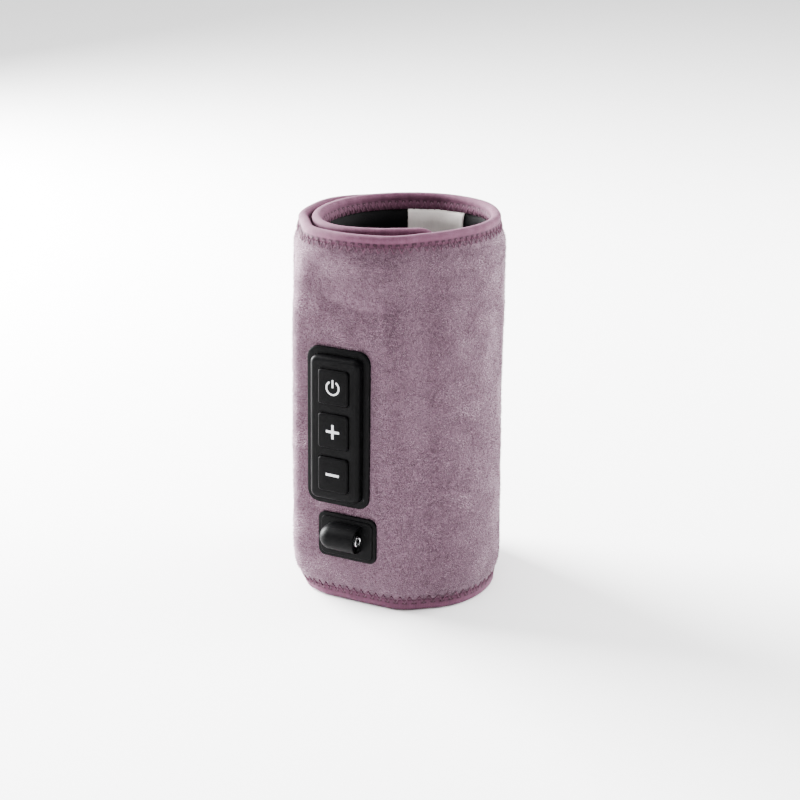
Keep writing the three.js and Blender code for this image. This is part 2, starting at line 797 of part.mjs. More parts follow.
function keyBody(offset) {
  const cap = bevelled(keyWidth, keyHeight, keyRadius, caseTop - caseWall * 2, caseTop + keyProud,
    caseWall / 3);
  const lipTop = caseTop - caseWall - smallGap;
  const lip = slab(keyWidth + keyLip * 2, keyHeight + keyLip * 2, keyRadius + keyLip / 2,
    lipTop - keyLipThickness, lipTop);
  const stem = post(stemRadius, switchTop + keyTravel + smallGap, caseTop - caseWall, smallSegments);
  const trimmed = cap.subtract(slab(keyWidth * 2, keyHeight * 2, keyRadius, 0, lipTop - keyLipThickness));
  return onPanel(at(join([trimmed, lip, stem]), 0, keyCentre + offset));
}

// Charging inlet
function inletPlate() {
  const base = slab(plateWidth, plateHeight, plateRadius, flangeLow, flangeLow + plateThickness);
  const step = slab(plateWidth - plateStepInset * 2, plateHeight - plateStepInset * 2,
    plateRadius - plateStepInset / 2, flangeLow, plateTop);
  let plate = base.add(step);
  const end = backRimLow - fitGap;
  for (const side of [-1, 1]) {
    const peg = post(pegRadius, end, flangeLow + plateThickness / 2, smallSegments);
    plate = plate.add(at(peg, side * pegSpread, 0));
  }
  const hole = at(post(leadRadius + fitGap * 2, 0, plateTop * 2, smallSegments), -leadBack, housingRise);
  return onPanel(at(plate.subtract(hole), plateCentreX, plateCentreZ));
}

// A bar along x with a domed back end, a flat front and straight sides down to its foot
function bullet(radius, back, front, drop) {
  const geometry = new THREE.CapsuleGeometry(radius, back + front, cornerSegments, roundSegments);
  geometry.rotateZ(Math.PI / 2).translate((front - back) / 2, 0, 0);
  const position = geometry.attributes.position;
  for (let index = 0; index < position.count; index += 1) {
    const z = position.getZ(index);
    position.setX(index, Math.min(position.getX(index), front));
    position.setZ(index, z < -mergeTolerance ? -drop : z);
  }
  return solid(geometry);
}

function inletHousing() {
  const outer = bullet(housingRadius, housingBack, housingFront, housingLift);
  const hollow = bullet(housingRadius - housingWall, housingBack, housingFront - housingWall,
    housingLift * 2);
  const mouth = at(bar(ringRadius + smallGap, 0, housingFront * 2), 0, 0, jackLift - housingLift);
  const shell = outer.subtract(hollow).subtract(mouth);
  return onPanel(at(shell, plateCentreX, housingCentreZ, housingAxis + smallGap));
}

const jackFront = housingFront - housingWall - smallGap;

function placedJack(body) {
  return onPanel(at(body, plateCentreX, housingCentreZ, jackAxis + smallGap));
}

function jackBody() {
  const outer = bar(jackRadius, jackFront - jackLength, jackFront, fineSegments);
  const foot = slab(jackLength / 2, jackRadius * 1.5, smallGap, -jackLift, 0);
  const bore = bar(ringRadius + smallGap / 2, housingFront + ringProud - ringLength - smallGap, housingFront);
  const pinHole = bar(pinRadius + smallGap / 2, -housingFront * 2, housingFront);
  return placedJack(outer.add(foot).subtract(bore).subtract(pinHole));
}

function jackRing() {
  const front = housingFront + ringProud;
  const outer = bar(ringRadius, front - ringLength, front, fineSegments);
  return placedJack(outer.subtract(bar(ringBore, front - ringLength * 2, front * 2, fineSegments)));
}

function jackPin() {
  const front = housingFront - ringProud * 2;
  return placedJack(bar(pinRadius, front - pinLength, front));
}

function clampPlate() {
  const low = liningInner - fitGap - clampThickness;
  const plate = slab(clampWidth, clampHeight, plateRadius, low, low + clampThickness);
  const hole = post(pegRadius + smallGap, low * 2, 0, smallSegments);
  const holes = [-1, 1].map((side) => at(hole, side * pegSpread, 0));
  return onPanel(at(cut(plate, holes), plateCentreX, plateCentreZ));
}

function inletLead() {
  return onPanel(tube(leadPath(), leadRadius));
}

// Vibration motors
function motorCase() {
  const low = -motorSink;
  const cup = post(motorRadius, low, low + motorThickness);
  return cup.subtract(post(motorRadius - motorWall, low - motorWall, low + motorThickness - motorWall));
}

function motorBase() {
  const low = -motorSink;
  const disc = post(motorRadius - motorWall - smallGap / 2, low, low + motorWall);
  return disc.add(post(shaftRadius, low, low + motorThickness - motorWall - smallGap, smallSegments));
}

function motorRotor() {
  const low = motorWall + fitGap - motorSink;
  const radius = motorRadius - motorWall - fitGap;
  const disc = post(radius, low, low + rotorThickness);
  const half = at(slab(radius * 4, radius * 2, smallGap, low - fitGap, low + motorThickness), 0, -radius);
  const hub = post(rotorHubRadius, low, low + rotorThickness, smallSegments);
  const bore = post(shaftRadius + smallGap, low - fitGap, motorThickness, smallSegments);
  return disc.subtract(half).add(hub).subtract(bore);
}

// The whole wrap
function clothPieces() {
  const pieces = [];
  for (const part of ["wrap", "flap"]) {
    pieces.push(meshOf(`${part}_fleece`, fleeceLayer(part), fleece()));
    pieces.push(meshOf(`${part}_foam`, foamLayer(part), foam()));
    pieces.push(meshOf(`${part}_lining`, liningLayer(part), lining()));
    pieces.push(meshOf(`${part}_binding`, bindingBody(part), bindingCloths()));
  }
  pieces.push(meshOf("care_tag", careTag(), satin()));
  pieces.push(meshOf("hook_patch", hookPatch(), hook()));
  return pieces;
}

function controlPieces() {
  const pieces = [
    meshOf("control_flange", controlFlange(), blackPlastic()),
    meshOf("front_case", frontCase(), blackPlastic()),
    meshOf("rear_case", rearCase(), blackPlastic()),
    meshOf("battery_cell", batteryCell(), cellFoil()),
    meshOf("circuit_board", circuitBoard(), boardGlass()),
  ];
  bossPlaces().forEach((place, index) => {
    pieces.push(meshOf(`case_screw_${index + 1}`, caseScrew(place), steel()));
  });
  keyOffsets.forEach((offset, index) => {
    pieces.push(meshOf(`${keyNames[index]}_switch`, tactSwitch(offset), blackPlastic()));
    pieces.push(meshOf(`${keyNames[index]}_key`, keyBody(offset), keyPlastic()));
  });
  return pieces;
}

function inletPieces() {
  return [
    meshOf("inlet_plate", inletPlate(), blackPlastic()),
    meshOf("inlet_housing", inletHousing(), blackPlastic()),
    meshOf("inlet_clamp", clampPlate(), blackPlastic()),
    meshOf("jack_body", jackBody(), blackPlastic()),
    meshOf("jack_ring", jackRing(), steel()),
    meshOf("jack_pin", jackPin(), steel()),
    meshOf("inlet_lead", inletLead(), blackPlastic()),
  ];
}

function motorPieces() {
  const pieces = [meshOf("motor_lead", ribbonRun(0, ribbonOuter, ribbonInner), blackPlastic())];
  motorAngles.forEach((turn, index) => {
    const name = `motor_${index + 1}`;
    pieces.push(meshOf(`${name}_case`, onMotor(motorCase(), turn), steel()));
    pieces.push(meshOf(`${name}_base`, onMotor(motorBase(), turn), steel()));
    pieces.push(meshOf(`${name}_weight`, onMotor(motorRotor(), turn), steel()));
  });
  return pieces;
}

function centred(group) {
  const box = new THREE.Box3().setFromObject(group);
  const middle = box.getCenter(new THREE.Vector3());
  for (const mesh of group.children) mesh.geometry.translate(-middle.x, -middle.y, -box.min.z);
  return group;
}

const legMassager = new THREE.Group();
legMassager.name = "leg_massager";
legMassager.add(...clothPieces(), ...controlPieces(), ...inletPieces(), ...motorPieces());

export default centred(legMassager);
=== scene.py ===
import bisect
import math
import random

import bmesh
import bpy
from bpy.props import FloatProperty, FloatVectorProperty, IntProperty, PointerProperty
from mathutils import Matrix, Vector, noise


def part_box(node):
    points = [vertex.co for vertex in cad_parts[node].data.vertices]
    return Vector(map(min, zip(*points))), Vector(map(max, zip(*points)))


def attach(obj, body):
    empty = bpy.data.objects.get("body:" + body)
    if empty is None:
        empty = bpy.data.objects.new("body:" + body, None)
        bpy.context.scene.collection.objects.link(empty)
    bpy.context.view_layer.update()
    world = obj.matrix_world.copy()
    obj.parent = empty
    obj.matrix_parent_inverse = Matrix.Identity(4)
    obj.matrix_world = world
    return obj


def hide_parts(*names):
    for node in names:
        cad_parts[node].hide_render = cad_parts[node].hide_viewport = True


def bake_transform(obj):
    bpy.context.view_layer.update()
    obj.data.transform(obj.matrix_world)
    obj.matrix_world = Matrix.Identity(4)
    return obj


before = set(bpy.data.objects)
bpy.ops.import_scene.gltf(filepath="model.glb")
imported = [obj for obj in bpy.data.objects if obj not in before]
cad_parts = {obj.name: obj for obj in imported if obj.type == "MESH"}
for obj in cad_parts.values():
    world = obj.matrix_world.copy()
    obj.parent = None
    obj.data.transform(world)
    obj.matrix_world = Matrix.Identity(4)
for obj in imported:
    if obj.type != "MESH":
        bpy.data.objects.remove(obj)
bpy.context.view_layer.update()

bl_info = {
    "name": "Leg massager",
    "version": (1, 0, 0),
    "blender": (4, 5, 0),
    "location": "View3D > Sidebar > Massager",
    "description": "Builds a rolled fleece leg massager with its control unit and charging inlet",
    "category": "Object",
}

MM = 0.001

# The wrap's cut and the way that it is rolled, in millimetres, as the solids have them
WRAP_HEIGHT = 200.0
ROLL_RADIUS = 50.0
CORNER_RADIUS = 12.0
ROLL_SHARES = [
    (-32, 0.775), (-16, 0.77), (0, 0.775), (20, 0.85), (40, 0.91), (62, 0.9), (90, 0.83),
    (120, 0.785), (150, 0.79), (180, 0.83), (210, 0.915), (240, 1.0), (270, 0.99), (300, 1.01),
    (330, 1.045), (350, 1.08), (368, 1.12), (388, 1.16), (405, 1.155), (422, 1.075),
    (442, 1.045), (465, 0.98), (490, 0.98), (515, 0.995), (535, 1.0),
]
PANEL_TURN = 388
HINGE_TURN = 445
SEAT_HALF, SEAT_FADE, SEAT_TOP, SEAT_TOP_FADE, SEAT_RIM = 21.5, 22.0, 148.0, 52.0, 0.35
SLACK_TURN, SLACK_REACH, SLACK_FOOT, SLACK_RIM = 330, 60.0, 12.1, -3.9
TUCK_TURN, TUCK_REACH, TUCK_TOP, TUCK_DEPTH = 415.5, 20.0, 30.0, 4.3
FLARE_TURNS, FLARE_TOP, FLARE_DEPTH = (20, 55, 205, 260), 15.4, 2.6
SAG_REACH, SAG_SHARE = 55.0, 0.011
BEND_HALF = 13.0

# The cloth, the binding, the pile and the tag: millimetres, and degrees round the roll
CLOTH_INSET = 1.9
LEG_DEPTH = 8.4
FOAM_INSET = LEG_DEPTH + 7.2
FOAM_OUTER, FOAM_INNER = 1.8, -1.6
TAPE_HALF = 2.62
STITCH_NEAR, STITCH_FAR, STITCH_LIFT = 4.4, 8.3, 0.35
PILE_EDGE, PILE_SINK, PILE_WIDTH = 6.2, 0.3, 0.15
PILE_TURNS = (176, 300, 372)
TAG_TURN, TAG_W, TAG_H, TAG_THICK = 182, 34.0, 46.6, 0.28

# Soft hollows in the front: along and up from the unit, reach each way, tilt in degrees, depth
DENTS = (
    (-16, 165, 34, 11, 4, 3.4),
    (12, 178, 14, 16, 0, 1.6),
    (-60, 92, 26, 8, 36, 3.2),
    (-40, 122, 20, 20, 0, -0.7),
    (-70, 62, 26, 18, 30, -0.6),
    (8, 10, 22, 9, 0, 0.8),
)

# The control unit and the inlet, in millimetres
FLANGE_LOW, FLANGE_TOP = 5.3, 6.8
UNIT_Z, FLANGE_W, FLANGE_H, FLANGE_R = 98.1, 36.2, 85.6, 6.5
CASE_W, CASE_H, CASE_R, CASE_LOW, CASE_TOP, CASE_WALL = 28.6, 77.8, 3.8, 1.6, 11.2, 1.5
WINDOW_W, WINDOW_H = CASE_W / 2 + 0.3, CASE_H / 2 + 0.3
KEY_W, KEY_H, KEY_R, KEY_PITCH, KEY_Z, KEY_TOP = 17.4, 18.8, 1.8, 23.75, 97.8, 12.5
KEY_PLACES = {"power": KEY_PITCH, "plus": 0, "minus": -KEY_PITCH}
STEM_R, STEM_LENGTH, STEM_Z = 1.6, 3.4, 7.2
MARK_STROKE, MARK_CORNER, MARK_LOW, MARK_TOP = 1.35, 0.12, KEY_TOP - 0.1, KEY_TOP + 0.06
POWER_BAR, POWER_STROKE, POWER_GAP = (0.95, 4.2, 2.3), 0.9, 30
PLATE_W, PLATE_H, PLATE_R, PLATE_X, PLATE_Z = 34.0, 24.8, 4.0, 5.4, 37.9
UNITS = ((0, UNIT_Z, FLANGE_W, FLANGE_H), (PLATE_X, PLATE_Z, PLATE_W, PLATE_H))
UNIT_FADE, UNIT_LAP = 6, 0.4
PEG_R, PEG_LENGTH, PEG_X, PEG_Z = 1.5, 10.6, 12, 0.7
HOUSING_R, HOUSING_BACK, HOUSING_FRONT, HOUSING_AXIS, HOUSING_RISE = 6.8, 6.3, 9.0, 10.5, 1.2
HOUSING_WALL = 1.4
MOUTH_R, MOUTH_LENGTH = 3.02, 30
SLEEVE_BORE, SLEEVE_R, SLEEVE_LENGTH, SLEEVE_AXIS = 2.1, 2.9, 8.6, 11.2

# The lights: place in metres, width in metres and power in watts
LIGHTS = {
    "top_light": ((0.0, 0.6, 3.2), 5.0, 290),
    "left_light": ((-1.35, 0.15, 0.5), 1.0, 390),
    "right_light": ((0.95, 0.95, 0.5), 0.9, 66),
    "front_light": ((0.6, -1.8, 0.9), 1.2, 6),
}
WORLD_LIGHT = 0.55

# The camera: its film in millimetres, picture and focal length in pixels, angles in degrees,
# distance and target in metres, and the target's shift in pixels
SENSOR, PICTURE, FOCAL = 36, 800, 1860
CAMERA_TURN, CAMERA_RISE, CAMERA_ROLL, CAMERA_AWAY = 26.5, 19, 0.8, 1.0
CAMERA_TARGET, CAMERA_ASIDE, CAMERA_UP = (0, 0, 0.097), 3.2, 3.6


def smooth(value, low, high):
    share = min(max((value - low) / (high - low), 0.0), 1.0)
    return share * share * (3 - 2 * share)


def lerp(a, b, share):
    return a + (b - a) * share


def bell(share):
    return (1 + math.cos(min(abs(share), 1.0) * math.pi)) / 2


class Roll:
    """The rolled sheet: a place on it is a station along it, a height and a depth outward."""

    SAMPLES = 160

    def __init__(self):
        points = []
        for turn, share in ROLL_SHARES:
            angle = math.radians(turn)
            radius = ROLL_RADIUS * share
            points.append(Vector((-math.sin(angle) * radius, -math.cos(angle) * radius)))
        self.spans = len(points) - 1
        self.trace(points)
        x, y = self.tangent(self.station(PANEL_TURN))
        turn_by = Matrix.Rotation(math.pi - math.atan2(y, x), 2)
        self.trace([turn_by @ point for point in points])
        self.panel = self.station(PANEL_TURN)
        self.hinge = self.station(HINGE_TURN)
        self.slack = self.station(SLACK_TURN)
        self.tuck = self.station(TUCK_TURN)
        self.flare = [self.station(turn) for turn in FLARE_TURNS]
        self.known = {}
        low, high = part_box("control_flange")
        px, py = self.centre(self.panel)
        self.shift = Vector(((low[0] + high[0]) / 2 / MM - px, low[1] / MM + FLANGE_TOP - py))
        self.panel_y = py + self.shift.y

    def trace(self, points):
        """Samples the centripetal curve through the points, with its running length."""
        ends = [points[0] * 2 - points[1]] + points + [points[-1] * 2 - points[-2]]
        self.places = []
        for span in range(self.spans):
            a, b, c, d = ends[span:span + 4]
            ab, bc, cd = (max((q - p).length ** 0.5, 1e-4) for p, q in ((a, b), (b, c), (c, d)))
            into = ((b - a) / ab - (c - a) / (ab + bc) + (c - b) / bc) * bc
            away = ((c - b) / bc - (d - b) / (bc + cd) + (d - c) / cd) * bc
            for k in range(self.SAMPLES + (span == self.spans - 1)):
                t = k / self.SAMPLES
                cubic = 2 * (b - c) + into + away
                square = 3 * (c - b) - 2 * into - away
                self.places.append(b + into * t + square * t * t + cubic * t ** 3)
        self.runs = [0.0]
        for p, q in zip(self.places, self.places[1:]):
            self.runs.append(self.runs[-1] + (q - p).length)
        self.length = self.runs[-1]

    def station(self, turn):
        span = 0
        while span < self.spans - 1 and ROLL_SHARES[span + 1][0] < turn:
            span += 1
        part = (turn - ROLL_SHARES[span][0]) / (ROLL_SHARES[span + 1][0] - ROLL_SHARES[span][0])
        return self.runs[round((span + part) * self.SAMPLES)]

    def find(self, station):
        index = min(max(bisect.bisect(self.runs, station) - 1, 0), len(self.runs) - 2)
        step = self.runs[index + 1] - self.runs[index]
        return index, (station - self.runs[index]) / step

    def centre(self, station):
        index, share = self.find(station)
        return self.places[index].lerp(self.places[index + 1], share)

    def tangent(self, station):
        reach = 0.6
        station = min(max(station, reach), self.length - reach)
        return (self.centre(station + reach) - self.centre(station - reach)).normalized()

    def across(self, station):
        """What a station settles by itself: its place, its way out and its part in each hollow."""
        key = round(station, 3)
        if key not in self.known:
            x, y = self.tangent(station)
            place = self.centre(station) + self.shift
            slack = bell((station - self.slack) / SLACK_REACH)
            tuck = bell((station - self.tuck) / TUCK_REACH) * TUCK_DEPTH
            beside = 1 - smooth(abs(station - self.panel) - SEAT_HALF, 0, SEAT_FADE)
            start, full, fading, end = self.flare
            flare = smooth(station, start, full) * (1 - smooth(station, fading, end)) * FLARE_DEPTH
            sag = smooth(station, self.length - SAG_REACH, self.length) * SAG_SHARE
            self.known[key] = (place.x, place.y, -y, x, slack, tuck, beside, flare, sag)
        return self.known[key]

    def lay(self, station, height, depth):
        """Millimetres on the sheet to metres in the room."""
        x, y, out_x, out_y, slack, tuck, beside, flare, sag = self.across(station)
        depth -= tuck * max(1 - height / TUCK_TOP, 0) ** 2
        depth += flare * smooth(height, WRAP_HEIGHT - FLARE_TOP, WRAP_HEIGHT)
        off = depth + slack * lerp(SLACK_FOOT, SLACK_RIM, height / WRAP_HEIGHT)
        above = smooth(height - SEAT_TOP, 0, SEAT_TOP_FADE)
        flat = beside * (1 - above * (1 - SEAT_RIM))
        level = lerp(y + out_y * off, self.panel_y - depth, flat)
        return Vector(((x + out_x * off) * MM, level * MM, height * (1 - sag) * MM))


roll = Roll()


def edge_distance(station, height):
    """How far in from the wrap's rounded outline a place is."""
    beyond_x = abs(station - roll.length / 2) - (roll.length / 2 - CORNER_RADIUS)
    beyond_z = abs(height - WRAP_HEIGHT / 2) - (WRAP_HEIGHT / 2 - CORNER_RADIUS)
    outside = math.hypot(max(beyond_x, 0), max(beyond_z, 0))
    return CORNER_RADIUS - outside - min(max(beyond_x, beyond_z), 0)


def half_height(station, inset):
    radius = max(CORNER_RADIUS - inset, 0)
    short = min(max(radius - (min(station, roll.length - station) - inset), 0), radius)
    return WRAP_HEIGHT / 2 - inset - radius + math.sqrt(radius * radius - short * short)


def ripple(station, height, pitch, seed):
    """Soft unevenness of about one either way, the same on each run."""
    place = roll.lay(station, height, 0) / (pitch * MM)
    return noise.noise(place + Vector((seed, seed * 1.7, seed * 0.3)))


# Colours and sizes that a user would change

def colour(name, description, default):
    return FloatVectorProperty(name=name, description=description, subtype="COLOR", size=3,
                               min=0, max=1, default=default)


def length(name, description, default):
    return FloatProperty(name=name, description=description, subtype="DISTANCE", unit="LENGTH",
                         min=0, default=default)


class MassagerColours(bpy.types.PropertyGroup):
    # Painted shade: the dark fleece colour is laid on the ground between the tufts and on each
    # strand's foot, where shade falls in the pile; the tip colour is the lit end
    fleece_dark_and_shade: colour("Fleece, dark", "Colour between the tufts", (0.052, 0.026, 0.04))
    fleece_tip: colour("Fleece tips", "Colour of the pile's bright tips", (0.283, 0.18, 0.233))
    binding: colour("Binding", "Colour of the edge tape", (0.094, 0.034, 0.062))
    thread: colour("Thread", "Colour of the zigzag stitches", (0.07, 0.028, 0.047))
    lining: colour("Lining", "Colour of the smooth inner cloth", (0.001, 0.001, 0.0012))
    plastic: colour("Plastic", "Colour of the moulded black parts", (0.0016, 0.0016, 0.0018))
    key: colour("Keys", "Colour of the three keys", (0.0008, 0.0008, 0.001))
    mark: colour("Key marks", "Colour of the printed marks", (0.54, 0.54, 0.55))
    tag: colour("Tag", "Colour of the blank satin tag", (0.64, 0.6, 0.57))


class MassagerSizes(bpy.types.PropertyGroup):
    pile: length("Pile length", "Length of the fleece's pile", 0.0013)
    stitch: length("Stitch pitch", "Length of one zigzag along the edge", 0.0039)
    thread: length("Thread", "Diameter of the sewing thread", 0.0006)
    tufts: IntProperty(name="Pile strands", description="Strands in the pile altogether",
                       min=100, default=150000)
    mark: length("Mark width", "Width of the marks on the keys", 0.0080)
    floor: length("Floor", "Width of the floor", 40.0)


# Finishes

class Value:
    """A shader socket that arithmetic can be written with."""

    def __init__(self, finish, socket):
        self.finish = finish
        self.socket = socket

    def apply(self, operation, other=0.0):
        node = self.finish.add("ShaderNodeMath", {"operation": operation}, {0: self, 1: other})
        return Value(self.finish, node.outputs[0])

    def __add__(self, other):
        return self.apply("ADD", other)

    def __sub__(self, other):
        return self.apply("SUBTRACT", other)

    def __mul__(self, other):
        return self.apply("MULTIPLY", other)


class Finish:
    """One material and the nodes that make it."""

    SOCKETS = {"base": "Base Color", "rough": "Roughness", "metal": "Metallic",
               "normal": "Normal", "sheen": "Sheen Weight", "sheen_rough": "Sheen Roughness",
               "sheen_tint": "Sheen Tint", "specular": "Specular IOR Level",
               "coat": "Coat Weight"}

    def __init__(self, name):
        self.material = bpy.data.materials.new(name)
        self.material.use_nodes = True
        self.tree = self.material.node_tree
        self.tree.nodes.clear()
        self.surface = self.add("ShaderNodeBsdfPrincipled")
        self.add("ShaderNodeOutputMaterial", {}, {"Surface": self.surface.outputs[0]})
        self.place = self.add("ShaderNodeTexCoord").outputs["Object"]

    def feed(self, socket, given):
        """Links a socket to another one, or sets it to a constant."""
        given = given.socket if isinstance(given, Value) else given
        if isinstance(given, bpy.types.NodeSocket):
            self.tree.links.new(given, socket)
        else:
            socket.default_value = given

    def add(self, kind, settings=None, inputs=None):
        node = self.tree.nodes.new(kind)
        for key, setting in (settings or {}).items():
            setattr(node, key, setting)
        for key, given in (inputs or {}).items():
            self.feed(node.inputs[key], given)
        return node

    def noise(self, pitch, detail=3.0, rough=0.55, stretch=None):
        """Noise by its pitch in millimetres."""
        place = self.place
        if stretch:
            inputs = {"Vector": place, "Scale": stretch}
            place = self.add("ShaderNodeMapping", {}, inputs).outputs[0]
        node = self.add("ShaderNodeTexNoise", {}, {"Vector": place, "Scale": 1 / (pitch * MM),
                                                  "Detail": detail, "Roughness": rough})
        return Value(self, node.outputs["Fac"])

    def parts(self, vector):
        node = self.add("ShaderNodeSeparateXYZ", {}, {0: vector})
        return Value(self, node.outputs[0]), Value(self, node.outputs[1])

    def cells(self, pitch):
        node = self.add("ShaderNodeTexVoronoi", {}, {"Vector": self.place,
                                                    "Scale": 1 / (pitch * MM)})
        return Value(self, node.outputs["Distance"])

    def ramp(self, value, *stops):
        """Spreads a value between two stops, each a place and the value there."""
        node = self.add("ShaderNodeValToRGB", {}, {"Fac": value})
        for element, (at, level) in zip(node.color_ramp.elements, stops):
            element.position = at
            element.color = (level, level, level, 1)
        return Value(self, node.outputs["Color"])

    def tint(self, share, first, second):
        inputs = {0: share, 6: first if isinstance(first, Value) else (*first, 1), 7: (*second, 1)}
        node = self.add("ShaderNodeMix", {"data_type": "RGBA"}, inputs)
        return Value(self, node.outputs[2])

    def fade(self, value, low, high, first, second):
        """One colour where the value is low, another where it is high."""
        return self.tint(self.ramp(value, (low, 0.0), (high, 1.0)), first, second)

    def bump(self, height, depth):
        inputs = {"Height": height, "Distance": depth * MM, "Strength": 1.0}
        return self.add("ShaderNodeBump", {}, inputs).outputs[0]

    def set(self, **sockets):
        for key, given in sockets.items():
            self.feed(self.surface.inputs[self.SOCKETS[key]], given)
        return self.material


FINISHES = {}


def finish_of(make):
    """The material that a function makes, made once and named after it."""
    name = make.__name__
    if name not in FINISHES:
        FINISHES[name] = make(Finish(name), bpy.context.scene.massager_colours)
    return FINISHES[name]


def shade(tone, share, lift=0.0):
    """A darker or lighter tone of a colour."""
    return tuple(min(x * share + lift, 1) for x in tone)


def fleece_ground(f, c):
    clump = f.noise(2.2, 3.0, 0.6)
    grain = f.noise(0.7, 3.0, 0.7)
    # Painted shade: the ground under the pile never reaches the tip colour, the shade that falls
    # between the tufts; the clump and grain noise vary it at random
    share = f.ramp(clump * 0.25 + grain * 0.75, (0.4, 0.0), (0.7, 0.7))
    return f.set(base=f.tint(share, c.fleece_dark_and_shade, c.fleece_tip), rough=0.95,
                 normal=f.bump(clump * 0.4 + grain * 0.6, 0.9), sheen=0.5, sheen_rough=0.35,
                 sheen_tint=(0.85, 0.68, 0.78, 1), specular=0.05)


def fleece_pile(f, c):
    tone, along = f.parts(f.add("ShaderNodeUVMap", {"uv_map": "strand"}).outputs[0])
    patch = f.noise(16, 2.0, 0.5)
    # Painted shade: along runs from each strand's dark foot to its lit tip, and tone is darker near
    # the binding, painted shade between the tufts and along the bound edge; the per-strand tone and
    # the slow patch are random
    base = f.fade(tone * 0.6 + along * 0.4 + (patch - 0.5) * 0.15, 0.1, 0.9,
                  c.fleece_dark_and_shade, c.fleece_tip)
    return f.set(base=base, rough=0.9, sheen=0.75, sheen_rough=0.4,
                 sheen_tint=(0.9, 0.71, 0.81, 1), specular=0.05)


def binding_cloth(f, c):
    weave = f.add("ShaderNodeUVMap", {"uv_map": "weave"}).outputs[0]
    rib = f.add("ShaderNodeTexWave", {"wave_type": "BANDS", "bands_direction": "X"},
                {"Vector": weave, "Scale": 1 / (2.2 * MM), "Distortion": 1.2, "Detail": 2.0})
    rib = Value(f, rib.outputs["Fac"])
    tone = f.noise(5, 3.0)
    fuzz = f.noise(0.5, 3.0, 0.7)
    cloth = f.fade(tone * 0.5 + fuzz * 0.35 + rib * 0.15, 0.3, 0.72,
                   shade(c.binding, 0.72), shade(c.binding, 1.45, 0.01))
    # Painted shade: a darker band over the sewn part of the tape below its rim, and dark dashes at
    # each stitch along the needle row, painted shadows of the needle holes
    run, inward = f.parts(weave)
    beat = (run * (1 / bpy.context.scene.massager_sizes.stitch) + 0.25).apply("FRACT")
    needle_shadow = f.ramp((beat - 0.5).apply("ABSOLUTE"), (0.24, 1.0), (0.34, 0.0))
    line = f.ramp((inward - 0.0042).apply("ABSOLUTE") * 1000, (0.4, 1.0), (0.75, 0.0))
    sewn = f.ramp(inward * 100, (0.33, 0.0), (0.41, 1.0))
    base = f.tint(sewn * 0.28 + needle_shadow * line * 0.5, cloth, shade(c.binding, 0.2))
    return f.set(base=base, rough=0.8, normal=f.bump(rib * 0.4 + fuzz * 0.6, 0.16), sheen=0.08,
                 sheen_rough=0.4, sheen_tint=(0.95, 0.72, 0.86, 1), specular=0.12)


def sewing_thread(f, c):
    base = f.fade(f.noise(1.2, 2.0), 0.3, 0.7, shade(c.thread, 0.6), shade(c.thread, 1.9))
    return f.set(base=base, rough=0.7, sheen=0.05, specular=0.12)


def lining_cloth(f, c):
    knit = f.noise(0.45, 2.0, 0.6, (1, 1, 0.5))
    fold = f.noise(24, 2.0)
    base = f.fade(knit * 0.5 + fold * 0.5, 0.3, 0.75, c.lining, shade(c.lining, 2.6))
    return f.set(base=base, rough=0.7, normal=f.bump(knit * 0.25 + fold * 3.0, 0.35),
                 sheen=0.02, sheen_rough=0.35, specular=0.06)


def pad_foam(f, _):
    cell = f.cells(0.8)
    base = f.fade(cell, 0.1, 0.7, (0.55, 0.52, 0.42), (0.75, 0.72, 0.62))
    return f.set(base=base, rough=0.95, normal=f.bump(cell, 0.3))


def satin_tag(f, c):
    warp = f.noise(0.35, 2.0, 0.5, (1, 1, 0.12))
    fold = f.noise(12, 2.0)
    base = f.fade(warp * 0.4 + fold * 0.6, 0.3, 0.7, shade(c.tag, 0.84), shade(c.tag, 1.12))
    return f.set(base=base, rough=0.38, normal=f.bump(warp * 0.4 + fold, 0.12), sheen=0.15,
                 specular=0.5)


def moulded(f, ground, rough, grain, depth):
    cloud = f.noise(9, 3.0)
    fine = f.noise(grain, 2.0, 0.6)
    base = f.fade(cloud * 0.6 + fine * 0.4, 0.3, 0.75, shade(ground, 0.8), shade(ground, 1.35))
    wear = f.ramp(f.noise(5, 4.0, 0.65), (0.3, rough - 0.06), (0.75, rough + 0.08))
    return f.set(base=base, rough=wear, normal=f.bump(fine, depth), specular=0.032)


def case_plastic(f, c):
    return moulded(f, c.plastic, 0.46, 0.35, 0.03)


def key_rubber(f, c):
    return moulded(f, c.key, 0.5, 0.3, 0.03)


def cable_sheath(f, c):
    return moulded(f, c.plastic, 0.55, 0.5, 0.05)


def key_print(f, c):
    fine = f.noise(0.3, 2.0)
    base = f.fade(fine, 0.3, 0.7, shade(c.mark, 0.9), c.mark)
    return f.set(base=base, rough=0.5, normal=f.bump(fine, 0.02))


def turned_metal(f, grain, rough, dark, light):
    turned = f.noise(grain, 2.0, 0.5, (0.08, 1, 1))
    return f.set(base=f.tint(turned, dark, light), metal=1.0,
                 rough=f.ramp(turned, (0.3, rough[0]), (0.75, rough[1])),
                 normal=f.bump(turned, 0.02))


def bright_steel(f, _):
    return turned_metal(f, 0.3, (0.16, 0.3), (0.62, 0.62, 0.64), (0.83, 0.83, 0.85))


def dull_pin(f, _):
    return turned_metal(f, 0.2, (0.35, 0.5), (0.05, 0.048, 0.045), (0.09, 0.086, 0.08))


def board_lacquer(f, _):
    tracks = f.cells(2.2)
    base = f.fade(tracks, 0.28, 0.34, (0.02, 0.12, 0.05), (0.012, 0.075, 0.03))
    return f.set(base=base, rough=0.35, normal=f.bump(tracks, 0.05), coat=0.4)


def cell_foil(f, _):
    fold = f.noise(6, 3.0)
    return f.set(base=f.tint(fold, (0.4, 0.43, 0.46), (0.6, 0.63, 0.66)), metal=0.7,
                 rough=f.ramp(fold, (0.3, 0.28), (0.7, 0.45)), normal=f.bump(fold, 0.25))


